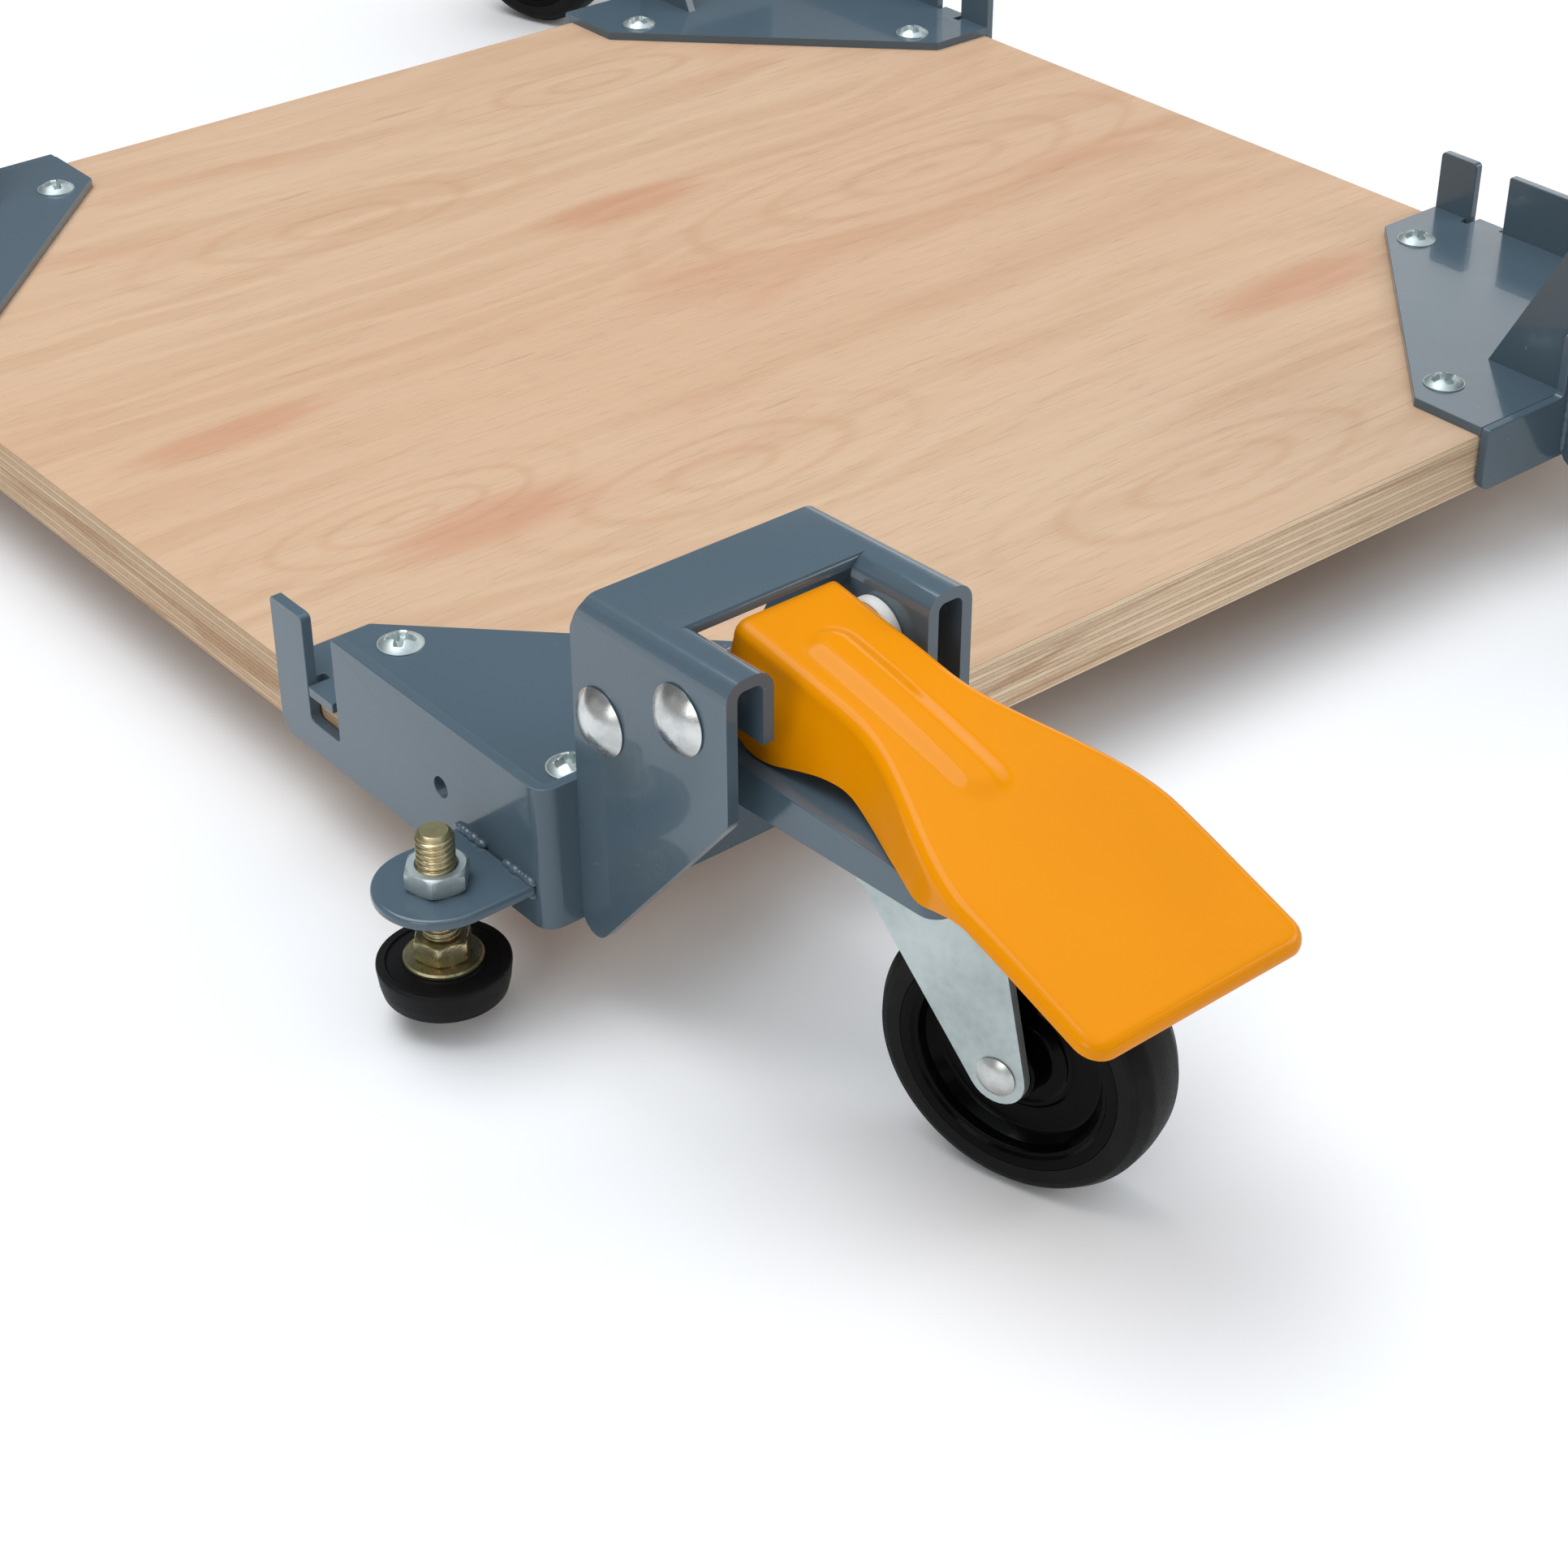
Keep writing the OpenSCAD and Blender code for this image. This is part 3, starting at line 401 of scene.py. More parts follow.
def plywood_face():
    """Face veneer with its grain along X: cathedral bands, fine pores and pinkish heart streaks."""
    f = Finish("plywood face")
    wood = tuple(colours().wood)
    sway = f.noise(f.stretch(f.place, (2.1, 6.0, 6.0), (0.3, 0.1, 0)), 1.0, 3.0, 0.55)
    x, y, _ = f.axes(f.place)
    rings = (y * 46.0 + sway * 9.0).fract().ping(0.5) * 2.0
    line = rings.step(0.05, 0.5) * f.noise(f.stretch(f.place, (5, 60, 60)), 1.0, 3.0).step(0.35, 0.7)
    pores = f.noise(f.stretch(f.place, (60, 1500, 1500)), 1.0, 2.0, 0.7).step(0.56, 0.72)
    fibre = f.noise(f.stretch(f.place, (16, 420, 420)), 1.0, 4.0, 0.6)
    heart = f.noise(f.stretch(f.place, (3.4, 17.0, 17.0), (1.7, 0.4, 0)), 1.0, 4.0, 0.6, 0.4).step(0.56, 0.78)
    cloud = f.noise(f.stretch(f.place, (2.0, 4.5, 4.5), (0.2, 2.1, 0)), 1.0, 2.0).step(0.35, 0.7)
    base = f.blend(cloud * 0.7, wood, (0.61, 0.44, 0.295))
    base = f.blend(line * 0.42, base, (0.46, 0.26, 0.14))
    base = f.blend(fibre.step(0.3, 0.75) * 0.25, base, (0.45, 0.3, 0.19))
    base = f.blend(heart * 0.6, base, (0.49, 0.235, 0.135))
    base = f.blend(pores * 0.2, base, (0.3, 0.17, 0.09))

    def from_middle(middle_x, middle_y, half_length, half_width):
        u = (x - middle_x) / half_length
        v = (y - middle_y) / half_width
        return (u * u + v * v) ** 0.5

    figure = blush = 0.0
    for oval in FIGURES:
        reach = from_middle(*oval) + (sway - 0.5) * 1.6
        rings = (reach * 3.3).ping(0.5) * 2.0
        figure = figure + rings.step(0.5, 1.0) * reach.step(0.75, 1.35, 1.0, 0.0)
    for oval in HEART_SPOTS:
        reach = from_middle(*oval) + (heart - 0.5) * 0.5 + (fibre - 0.5) * 1.2
        blush = blush + reach.step(0.3, 1.2, 1.0, 0.0)
    base = f.blend(figure.clamped() * 0.3, base, (0.46, 0.25, 0.13))
    base = f.blend(blush.clamped() * 0.5, base, (0.47, 0.2, 0.105))
    flecks = f.noise(f.stretch(f.place, (26, 420, 420), (4.2, 0.7, 0)), 1.0, 1.0).step(0.74, 0.78)
    base = f.blend(flecks * 0.2, base, (0.16, 0.085, 0.05))
    f.set(Base_Color=base, Roughness=fibre.step(0.3, 0.7, 0.52, 0.64), IOR=1.45)
    f.bump(fibre * 0.6 - pores * 0.5 + line * 0.1, 0.00012)
    return f.material


def plywood_edge():
    """Sawn edge: thin veneers, alternately long grain and darker end grain."""
    f = Finish("plywood edge")
    plies = colours().veneer_plies
    _, _, z = f.axes(f.place)
    nx, _, _ = f.axes(f.node("ShaderNodeNewGeometry", out=1))
    at_ends = nx.size().above(0.5)
    wobble = f.noise(f.stretch(f.place, (9, 9, 60)), 1.0, 3.0) * 0.35
    level = (z / MM - (DECK - BOARD_T)) / BOARD_T * plies + wobble + at_ends
    odd = (level / 2.0).fract().step(0.46, 0.54)
    seam = level.fract().ping(0.5).step(0.0, 0.09, 1.0, 0.0)
    streak = f.noise(f.stretch(f.place, (14, 14, 700)), 1.0, 4.0, 0.6)
    vein = f.noise(f.stretch(f.place, (7, 7, 120), (0.5, 0.2, 0.3)), 1.0, 4.0, 0.6, 1.2).step(0.52, 0.62)
    ends = f.noise(f.place, 900.0, 3.0, 0.7)
    long_grain = f.blend(streak.step(0.3, 0.7), (0.85, 0.67, 0.47), (0.72, 0.52, 0.34))
    long_grain = f.blend(vein * 0.6, long_grain, (0.4, 0.2, 0.1))
    end_grain = f.blend(ends.step(0.35, 0.65), (0.6, 0.42, 0.25), (0.47, 0.31, 0.17))
    base = f.blend(odd * 0.5, long_grain, end_grain)
    base = f.blend(seam * 0.35, base, (0.22, 0.13, 0.07))
    base = f.blend(at_ends * 0.4, base, (0.24, 0.12, 0.04))
    f.set(Base_Color=base, Roughness=ends.step(0.3, 0.7, 0.6, 0.75), IOR=1.45)
    f.bump(ends * odd + streak * 0.4 - seam * 0.8, 0.00015)
    return f.material


def floor_paint():
    """Pale, almost matt floor."""
    f = Finish("pale floor")
    f.set(Base_Color=(0.87, 0.87, 0.87), Roughness=0.7, Specular_IOR_Level=0.2)
    return f.material


FINISHES = {}


def finish(name):
    """Each finish is made once, when a piece first asks for it."""
    makers = {
        "blue coat": lambda: coat("blue grey powder coat", tuple(colours().blue), (0.3, 0.34, 0.38), 0.00005),
        "orange coat": lambda: coat("orange powder coat", tuple(colours().orange), (0.8, 0.36, 0.08), 0.00003,
                                    shine=0.28),
        "bright zinc": bright_zinc,
        "dull zinc": dull_zinc,
        "yellow zinc": yellow_zinc,
        "tread": lambda: rubber("tread rubber", (0.005, 0.005, 0.005), 0.25),
        "pad": lambda: rubber("pad rubber", (0.007, 0.007, 0.007), 0.2),
        "hub": lambda: moulded_plastic("black nylon hub", (0.0015, 0.0015, 0.0015), 0.14, 0.07),
        "nylon": lambda: moulded_plastic("white nylon", (0.72, 0.72, 0.69), 0.35),
        "plywood face": plywood_face,
        "plywood edge": plywood_edge,
        "floor": floor_paint,
    }
    if name not in FINISHES:
        FINISHES[name] = makers[name]()
    return FINISHES[name]


# Meshes. Points are in mm in the corner's own frame, and are placed in the row frame here

def placed(points, signs):
    """Points of the corner's own frame, in the row frame at the corner with these signs."""
    p = np.asarray(points, float)
    x = (p[:, 0] - BOARD_W / 2) * -signs[0]
    y = (p[:, 1] - BOARD_D / 2) * -signs[1]
    return np.stack([x, y, p[:, 2] + DECK], 1) * MM


def new_mesh(name, points, faces, flip=False, smooth=35.0):
    mesh = bpy.data.meshes.new(name)
    mesh.from_pydata([tuple(p) for p in points], [], [tuple(f[::-1]) if flip else tuple(f) for f in faces])
    work = bmesh.new()
    work.from_mesh(mesh)
    bmesh.ops.remove_doubles(work, verts=work.verts, dist=1e-6)
    bmesh.ops.dissolve_degenerate(work, edges=work.edges, dist=1e-7)
    work.to_mesh(mesh)
    work.free()
    mesh.shade_smooth()
    mesh.set_sharp_from_angle(angle=math.radians(smooth))
    piece = bpy.data.objects.new(name, mesh)
    bpy.context.scene.collection.objects.link(piece)
    return piece


def baked(piece):
    """Turns a piece's modifiers into plain mesh."""
    bpy.context.view_layer.update()
    graph = bpy.context.evaluated_depsgraph_get()
    evaluated = piece.evaluated_get(graph)
    mesh = bpy.data.meshes.new_from_object(evaluated, preserve_all_data_layers=True, depsgraph=graph)
    piece.modifiers.clear()
    piece.data = mesh
    return piece


def dress(piece, look, body, nodes=()):
    """Gives a finished piece its look and its body, and hides the CAD nodes that it stands for."""
    if look is not None:
        piece.data.materials.clear()
        piece.data.materials.append(finish(look))
    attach(piece, body)
    if nodes:
        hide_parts(*nodes)
    return piece


def at_corners(name, parts, look, body, node=None, smooth=35.0):
    """Puts the same mesh on each corner. body and node are names without the corner."""
    points, faces = joined(parts)
    made = []
    for corner, signs in SIGNS.items():
        piece = new_mesh(f"{name}.{corner}", placed(points, signs), faces, signs[0] * signs[1] < 0, smooth)
        nodes = [f"{n}_{corner}" for n in ([node] if isinstance(node, str) else node or [])]
        made.append(dress(piece, look, body if body == "base" else f"{body}_{corner}", nodes))
    return made


def joined(parts):
    points, faces, count = [], [], 0
    for p, f in parts:
        points.append(np.asarray(p, float))
        faces += [tuple(k + count for k in face) for face in f]
        count += len(p)
    return np.vstack(points), faces


def turned(profile, steps=64):
    """Turns a profile of (radius, height) round +Z, from its bottom up the outside to its top."""
    points, rows, faces = [], [], []
    for r, h in profile:
        if r < 1e-6:
            rows.append([len(points)] * steps)
            points.append((0, 0, h))
        else:
            rows.append(list(range(len(points), len(points) + steps)))
            for k in range(steps):
                a = 2 * math.pi * k / steps
                points.append((r * math.cos(a), r * math.sin(a), h))
    for low, high in zip(rows, rows[1:]):
        for k in range(steps):
            n = (k + 1) % steps
            ring = [low[k], low[n], high[n], high[k]]
            ring = [v for i, v in enumerate(ring) if v not in ring[:i]]
            if len(ring) > 2:
                faces.append(tuple(ring))
    return np.array(points, float), faces


def moved(part, place=(0, 0, 0), turn=(0, 0, 0)):
    points, faces = part
    m = np.array(Euler([math.radians(a) for a in turn]).to_matrix())
    return np.asarray(points) @ m.T + np.array(place, float), faces


def fillet(points, steps=5):
    """Rounds the corners of an open or closed outline: each corner is (x, y, radius)."""
    out = []
    n = len(points)
    for k, (x, y, r) in enumerate(points):
        if r <= 0 or k in (0, n - 1):
            out.append((x, y))
            continue
        p = np.array([x, y], float)
        a = np.array(points[k - 1][:2], float) - p
        b = np.array(points[(k + 1) % n][:2], float) - p
        la, lb = np.linalg.norm(a), np.linalg.norm(b)
        a, b = a / la, b / lb
        half = math.acos(max(-1, min(1, float(a @ b)))) / 2
        cut = min(r / math.tan(half), la * 0.49, lb * 0.49)
        radius = cut * math.tan(half)
        mid = p + (a + b) / np.linalg.norm(a + b) * radius / math.sin(half)
        start, end = p + a * cut - mid, p + b * cut - mid
        a0 = math.atan2(start[1], start[0])
        sweep = (math.atan2(end[1], end[0]) - a0 + math.pi) % (2 * math.pi) - math.pi
        for i in range(steps + 1):
            t = a0 + sweep * i / steps
            out.append(tuple(mid + radius * np.array([math.cos(t), math.sin(t)])))
    return out


def cad_copy(node, name, round_mm, look, body, steps=3, limit=28.0):
    """A copy of a CAD node with its sharp edges rounded, as paint or tumbling leaves them."""
    mesh = frame["nodes"][node].data.copy()
    mesh.name = name
    work = bmesh.new()
    work.from_mesh(mesh)
    bmesh.ops.remove_doubles(work, verts=work.verts, dist=2e-6)
    bmesh.ops.dissolve_limit(work, angle_limit=math.radians(0.6), verts=work.verts, edges=work.edges)
    work.to_mesh(mesh)
    work.free()
    piece = bpy.data.objects.new(name, mesh)
    bpy.context.scene.collection.objects.link(piece)
    mesh.shade_smooth()
    mesh.set_sharp_from_angle(angle=math.radians(limit))
    bevel = piece.modifiers.new("rounding", "BEVEL")
    bevel.width = round_mm * MM
    bevel.segments = steps
    bevel.limit_method = "ANGLE"
    bevel.angle_limit = math.radians(limit)
    bevel.harden_normals = True
    bevel.use_clamp_overlap = True
    bevel.miter_outer = "MITER_ARC"
    baked(piece)
    return dress(piece, look, body, [node])


# Geometry Nodes

def tree_with(name, inputs):
    """A Geometry Nodes tree with a geometry input and output and these named inputs."""
    tree = bpy.data.node_groups.new(name, "GeometryNodeTree")
    tree.interface.new_socket("Geometry", in_out="INPUT", socket_type="NodeSocketGeometry")
    for label, kind in inputs:
        tree.interface.new_socket(label, in_out="INPUT", socket_type=kind)
    tree.interface.new_socket("Geometry", in_out="OUTPUT", socket_type="NodeSocketGeometry")
    graph = Graph(tree)
    entry = tree.nodes.new("NodeGroupInput")
    return graph, {s.name: Value(graph, s) for s in entry.outputs if s.name}


def ended(graph, geometry, material):
    """Ends a tree in Realize Instances, Set Material and Set Shade Smooth."""
    solid = graph.node("GeometryNodeRealizeInstances", None, {"Geometry": geometry})
    solid = graph.node("GeometryNodeSetShadeSmooth", None, {"Geometry": solid})
    solid = graph.node("GeometryNodeSetMaterial", None, {"Geometry": solid, "Material": material})
    out = graph.tree.nodes.new("NodeGroupOutput")
    graph.tree.links.new(solid.socket, out.inputs[0])


def grown(piece, tree, **values):
    """Runs a tree on a piece with these inputs, and leaves plain mesh."""
    modifier = piece.modifiers.new(tree.name, "NODES")
    modifier.node_group = tree
    for item in tree.interface.items_tree:
        key = item.name.replace(" ", "_").lower()
        if item.in_out == "INPUT" and key in values:
            modifier[item.identifier] = values[key]
    return baked(piece)


def thread_tree():
    """A bolt's thread: a grid rolled round Z, whose radius follows a helix."""
    g, i = tree_with("rolled thread", [
        ("Radius", "NodeSocketFloat"), ("Length", "NodeSocketFloat"), ("Pitch", "NodeSocketFloat"),
        ("Depth", "NodeSocketFloat"), ("Rows", "NodeSocketInt"), ("Sides", "NodeSocketInt"),
        ("Material", "NodeSocketMaterial")])
    grid = g.node("GeometryNodeMeshGrid", None, {
        "Size X": 1.0, "Size Y": 1.0, "Vertices X": i["Sides"], "Vertices Y": i["Rows"]})
    x, y, _ = g.axes(g.node("GeometryNodeInputPosition"))
    angle = (x + 0.5) * (2 * math.pi)
    height = (y + 0.5) * i["Length"]
    wave = (height / i["Pitch"] - x + 40.0).ping(0.5) * 2.0
    cut = wave.step(0.12, 0.9)
    taper = height.step(0.0, 0.0012) * (i["Length"] - height).step(0.0, 0.0012)
    radius = i["Radius"] - i["Depth"] * (1.0 - cut * taper)
    spot = g.node("ShaderNodeCombineXYZ", None, [radius * angle.cos(), radius * angle.sin(), height])
    rolled = g.node("GeometryNodeSetPosition", None, {"Geometry": grid, "Position": spot})
    closed = g.node("GeometryNodeMergeByDistance", None, {"Geometry": rolled, "Distance": 1e-6})
    ended(g, closed, i["Material"])
    return g.tree


def weld_tree():
    """A weld: flattened drops in a row along an edge, each a little different."""
    g, i = tree_with("weld bead", [
        ("Width", "NodeSocketFloat"), ("Pitch", "NodeSocketFloat"), ("Seed", "NodeSocketInt"),
        ("Material", "NodeSocketMaterial")])
    line = g.node("GeometryNodeMeshToCurve", None, {"Mesh": i["Geometry"]})
    dots = g.tree.nodes.new("GeometryNodeCurveToPoints")
    dots.mode = "LENGTH"
    g.plug(dots.inputs["Curve"], line)
    g.plug(dots.inputs["Length"], i["Pitch"])
    drop = g.node("GeometryNodeMeshUVSphere", None, {"Segments": 14, "Rings": 9, "Radius": 0.5})
    vary = g.node("FunctionNodeRandomValue", {"data_type": "FLOAT"}, {2: 0.78, 3: 1.2, "Seed": i["Seed"]}, 1)
    size = g.node("ShaderNodeCombineXYZ", None, [
        i["Width"] * vary, i["Width"] * vary * 0.92, i["Pitch"] * 2.6])
    placed_drops = g.node("GeometryNodeInstanceOnPoints", None, {
        "Points": Value(g, dots.outputs["Points"]), "Instance": drop,
        "Rotation": Value(g, dots.outputs["Rotation"]), "Scale": size})
    ended(g, placed_drops, i["Material"])
    return g.tree


def fastener_tree():
    """Copies of one fastener on the points of the piece, each turned by chance about Z."""
    g, i = tree_with("fasteners on points", [
        ("Fastener", "NodeSocketObject"), ("Seed", "NodeSocketInt"), ("Material", "NodeSocketMaterial")])
    shape = g.node("GeometryNodeObjectInfo", {"transform_space": "RELATIVE"}, {"Object": i["Fastener"]}, 4)
    turn = g.node("FunctionNodeRandomValue", {"data_type": "FLOAT"}, {
        2: 0.0, 3: 2 * math.pi, "Seed": i["Seed"]}, 1)
    spin = g.node("ShaderNodeCombineXYZ", None, [0.0, 0.0, turn])
    set_down = g.node("GeometryNodeInstanceOnPoints", None, {
        "Points": i["Geometry"], "Instance": shape, "Rotation": spin})
    ended(g, set_down, i["Material"])
    return g.tree


# The pieces

def platform_board():
    """The board: a box with eased edges, face veneer above and below, veneer layers round the edge."""
    low, high = BOARD_LOW, BOARD_HIGH
    points = [(x, y, z) for z in (low.z, high.z) for x, y in (
        (low.x, low.y), (high.x, low.y), (high.x, high.y), (low.x, high.y))]
    faces = [(3, 2, 1, 0), (4, 5, 6, 7), (0, 1, 5, 4), (1, 2, 6, 5), (2, 3, 7, 6), (3, 0, 4, 7)]
    piece = new_mesh("platform.board", points, faces)
    bevel = piece.modifiers.new("eased edges", "BEVEL")
    bevel.width, bevel.segments, bevel.harden_normals = 0.7 * MM, 3, True
    baked(piece)
    dress(piece, "plywood face", "base", ["platform"])
    piece.data.materials.append(finish("plywood edge"))
    for face in piece.data.polygons:
        face.material_index = 0 if abs(face.normal.z) > 0.8 else 1
    return piece


def screw_head_parts(radius, height, length, shank):
    """A pan-head wood screw with a cross recess, its head's underside at z = 0."""
    rings, steps = 16, 72
    points, faces = [(0, 0, 0)], []
    dome = (radius * radius + height * height) / (2 * height)

    def level(x, y):
        r = math.hypot(x, y)
        z = height - dome + math.sqrt(max(0, dome * dome - r * r)) if r < radius else 0
        z = min(z, height * 0.86)
        arm, reach = radius * 0.17, radius * 0.6
        wing = 0
        for u, v in ((abs(x), abs(y)), (abs(y), abs(x))):
            across = max(0, min(1, (arm - u) / (arm * 0.35) + 0.5))
            along = max(0, min(1, (reach - v) / (reach * 0.3) + 0.3))
            wing = max(wing, across * along)
        return z - wing * height * 0.75

    for k in range(1, rings + 1):
        r = radius * (k / rings) ** 0.8
        for s in range(steps):
            a = 2 * math.pi * s / steps
            x, y = r * math.cos(a), r * math.sin(a)
            points.append((x, y, level(x, y) if k < rings else height * 0.12))
    points[0] = (0, 0, level(0, 0))
    for s in range(steps):
        n = (s + 1) % steps
        faces.append((0, 1 + s, 1 + n))
        for k in range(rings - 1):
            a, b = 1 + k * steps, 1 + (k + 1) * steps
            faces.append((a + s, b + s, b + n, a + n))
    rim = 1 + (rings - 1) * steps
    under = len(points)
    for r, z in ((radius, 0), (shank / 2, 0), (shank / 2, -length + shank), (0.3, -length)):
        for s in range(steps):
            a = 2 * math.pi * s / steps
            points.append((r * math.cos(a), r * math.sin(a), z))
    starts = [rim, under, under + steps, under + 2 * steps, under + 3 * steps]
    for a, b in zip(starts, starts[1:]):
        for s in range(steps):
            n = (s + 1) % steps
            faces.append((a + s, b + s, b + n, a + n))
    faces.append(tuple(range(starts[-1] + steps - 1, starts[-1] - 1, -1)))
    return np.array(points, float), faces


def wood_screws():
    """All the wood screws, set on the brackets' plates."""
    points, faces = screw_head_parts(6.25, 2.8, 17.0, 5.0)
    tool = new_mesh("screw.shape", points * MM, faces, smooth=40.0)
    places = [(25.5, 25.5, 3), (25.5, 100, 3), (100, 25.5, 3)]
    spots = np.vstack([placed(places, s) for s in SIGNS.values()])
    piece = new_mesh("screws.wood", spots, [])
    grown(piece, fastener_tree(), fastener=tool, seed=4, material=finish("dull zinc"))
    bpy.data.objects.remove(tool)
    return dress(piece, None, "base", ["wood_screws"])


def dome(radius, height, steps=64, rows=12, rim=0.5):
    """A domed head on z = 0, with a small upright rim."""
    profile = [(0, 0), (radius - 0.3, 0), (radius, 0.3), (radius, rim)]
    cap = height - rim
    ball = (radius * radius + cap * cap) / (2 * cap)
    for k in range(1, rows + 1):
        t = math.asin(radius / ball) * (1 - k / rows)
        profile.append((ball * math.sin(t), rim + ball * math.cos(t) - (ball - cap)))
    return turned(profile, steps)


def hex_nut(across, height, hole, steps=72):
    """A hexagon nut on z = 0 with turned-off corners and a chamfered bore."""
    corner = across / 2 / math.cos(math.pi / 6)
    points, faces = [], []

    def ring(r, z, hexagonal):
        start = len(points)
        for s in range(steps):
            a = 2 * math.pi * s / steps
            flat = across / 2 / math.cos((a + math.pi / 6) % (math.pi / 3) - math.pi / 6)
            d = min(r, flat) if hexagonal else r
            points.append((d * math.cos(a), d * math.sin(a), z))
        return start

    cut = corner - across / 2
    lower = [(hole / 2, 0.5, False), (hole / 2 + 0.5, 0.0, False), (across / 2 - 0.15, 0.0, True),
             (across / 2 + cut * 0.35, cut * 0.3, True), (across / 2 + cut * 0.7, cut * 0.55, True),
             (corner, cut * 0.85, True)]
    upper = [(r, height - z, hexagonal) for r, z, hexagonal in lower[::-1]]
    rows = [ring(*level) for level in lower + upper + lower[:1]]
    for a, b in zip(rows, rows[1:]):
        for s in range(steps):
            n = (s + 1) % steps
            faces.append((a + s, a + n, b + n, b + s))
    return np.array(points, float), faces


# The pivot bolts, in mm: their radius, their pitch, how far they reach past the housing, and their nuts' bore
BOLT_R = 3.96
BOLT_PITCH = 1.25
BOLT_PAST = 10.0
NUT_BORE = 8.1

# How far in from the housing's outer faces its cheeks and its inner flaps end, in mm
CHEEK = 3
FLAP = 13


def ridged_shank(radius, start, end, pitch, depth):
    """A bolt's shank from start to end, with the ridges of its thread."""
    profile = [(0, start), (radius, start)]
    count = int((end - 0.8 - start) / pitch)
    for k in range(count):
        z = start + k * pitch
        profile += [(radius, z + 0.15 * pitch), (radius - depth, z + 0.5 * pitch), (radius, z + 0.85 * pitch)]
    return profile + [(radius, end - 0.8), (radius - 0.8, end), (0, end)]


def bolts():
    """Pivot bolts with domed heads and threaded ends, and their lock nuts with a nylon ring."""
    left, right = HOUSING_LOW.x, HOUSING_HIGH.x
    heads, nuts, rings = [], [], []
    collar = fillet([(4.1, 6.2, 0), (6.15, 6.2, 0), (6.15, 7.6, 0.5), (5.4, 8.7, 0.6), (4.7, 9.0, 0.2),
                     (4.7, 8.5, 0)], 4)
    nylon = [(4.0, 7.6), (4.68, 7.6), (4.68, 8.45), (4.0, 8.45), (4.0, 7.6)]
    shank = ridged_shank(BOLT_R, 0.0, right - left + BOLT_PAST, BOLT_PITCH, 0.62)
    for pivot in (PEDAL_PIVOT, ARM_PIVOT):
        heads.append(moved(dome(8.5, 4.2), (left, pivot.y, pivot.z), (0, -90, 0)))
        heads.append(moved(turned(shank, 40), (left, pivot.y, pivot.z), (0, 90, 0)))
        nuts.append(moved(hex_nut(13, 6.6, NUT_BORE), (right, pivot.y, pivot.z), (17, 90, 0)))
        nuts.append(moved(turned(collar + [collar[0]], 64), (right, pivot.y, pivot.z), (0, 90, 0)))
        rings.append(moved(turned(nylon, 48), (right, pivot.y, pivot.z), (0, 90, 0)))
    everywhere("bolts.pivot", heads, "bright zinc", ["pivot_bolts"])
    everywhere("nuts.pivot", nuts, "bright zinc", ["pivot_nuts"])
    everywhere("rings.nut", rings, "nylon", [])


def everywhere(name, parts, look, nodes, smooth=30.0):
    """One piece on the base that has the same mesh at every corner."""
    points, faces = joined(parts)
    meshes, all_faces = [], []
    for k, s in enumerate(SIGNS.values()):
        meshes.append(placed(points, s))
        for face in faces:
            all_faces.append(tuple(v + k * len(points) for v in (face[::-1] if s[0] * s[1] < 0 else face)))
    piece = new_mesh(name, np.vstack(meshes), all_faces, smooth=smooth)
    return dress(piece, look, "base", nodes)


def ring_part(inner, outer, x0, x1, pivot, edge=0.4):
    """A tube from x0 to x1 round a pivot, with eased edges."""
    profile = [(inner, edge), (inner + edge, 0), (outer - edge, 0), (outer, edge), (outer, x1 - x0 - edge),
               (outer - edge, x1 - x0), (inner + edge, x1 - x0), (inner, x1 - x0 - edge), (inner, edge)]
    return moved(turned(profile, 56), (x0, pivot.y, pivot.z), (0, 90, 0))


def bushes():
    """The nylon bush and the steel tube beside each pedal, and the steel tubes beside the caster arms."""
    pedal_mid = (PEDAL_LOW.x + PEDAL_HIGH.x) / 2
    nylon = [ring_part(4.1, 9, pedal_mid + NECK + 0.15, HOUSING_HIGH.x - FLAP, PEDAL_PIVOT)]
    everywhere("bushes.nylon", nylon, "nylon", ["nylon_bushes"])
    tubes = [ring_part(4.1, 6.5, HOUSING_LOW.x + CHEEK, ARM_LOW.x - 0.15, ARM_PIVOT, 0.3),
             ring_part(4.1, 6.5, ARM_HIGH.x + 0.15, HOUSING_HIGH.x - CHEEK, ARM_PIVOT, 0.3),
             ring_part(4.1, 5.5, HOUSING_LOW.x + FLAP, pedal_mid - NECK - 4, PEDAL_PIVOT, 0.3)]
    everywhere("tubes.spacer", tubes, "dull zinc", ["spacer_tubes"])


# The pressed pedal, in mm: half its neck's width, its sheet, how far it reaches behind its pivot, its cam's
# depth, and how far its outer flange leans out at the cam
NECK = 15.5
SHEET = 2.5
TAIL = 9.0
CAM = 24.7
LEAN = 5.5

# Slopes of its top face at the neck and the paddle, in degrees, and where the bend and the flare lie, in mm
NECK_SLOPE = 8
PADDLE_SLOPE = 18.5
BEND_START = 15
BEND_LENGTH = 85
FLARE_START = 28
FLARE_LENGTH = 56

# How far in front of the pivot the pressed bead starts and ends
BEAD_START = 3
BEAD_END = 64

# Depth of the side flanges below the top face: how far in front of the pivot, and how deep
FLANGES = [(-9, 19.0), (-6, 21.1), (-3, 22.4), (0, 23.6), (3, 24.3), (9, 23.4), (17, 20.0), (25, 17.0),
           (33, 15.5), (43, 16.2), (52, 15.7), (61, 13.7), (70, 12.3), (79, 6.0), (84, 3.5), (140, 3.5)]


def smooth_step(t):
    t = max(0.0, min(1.0, t))
    return t * t * (3 - 2 * t)


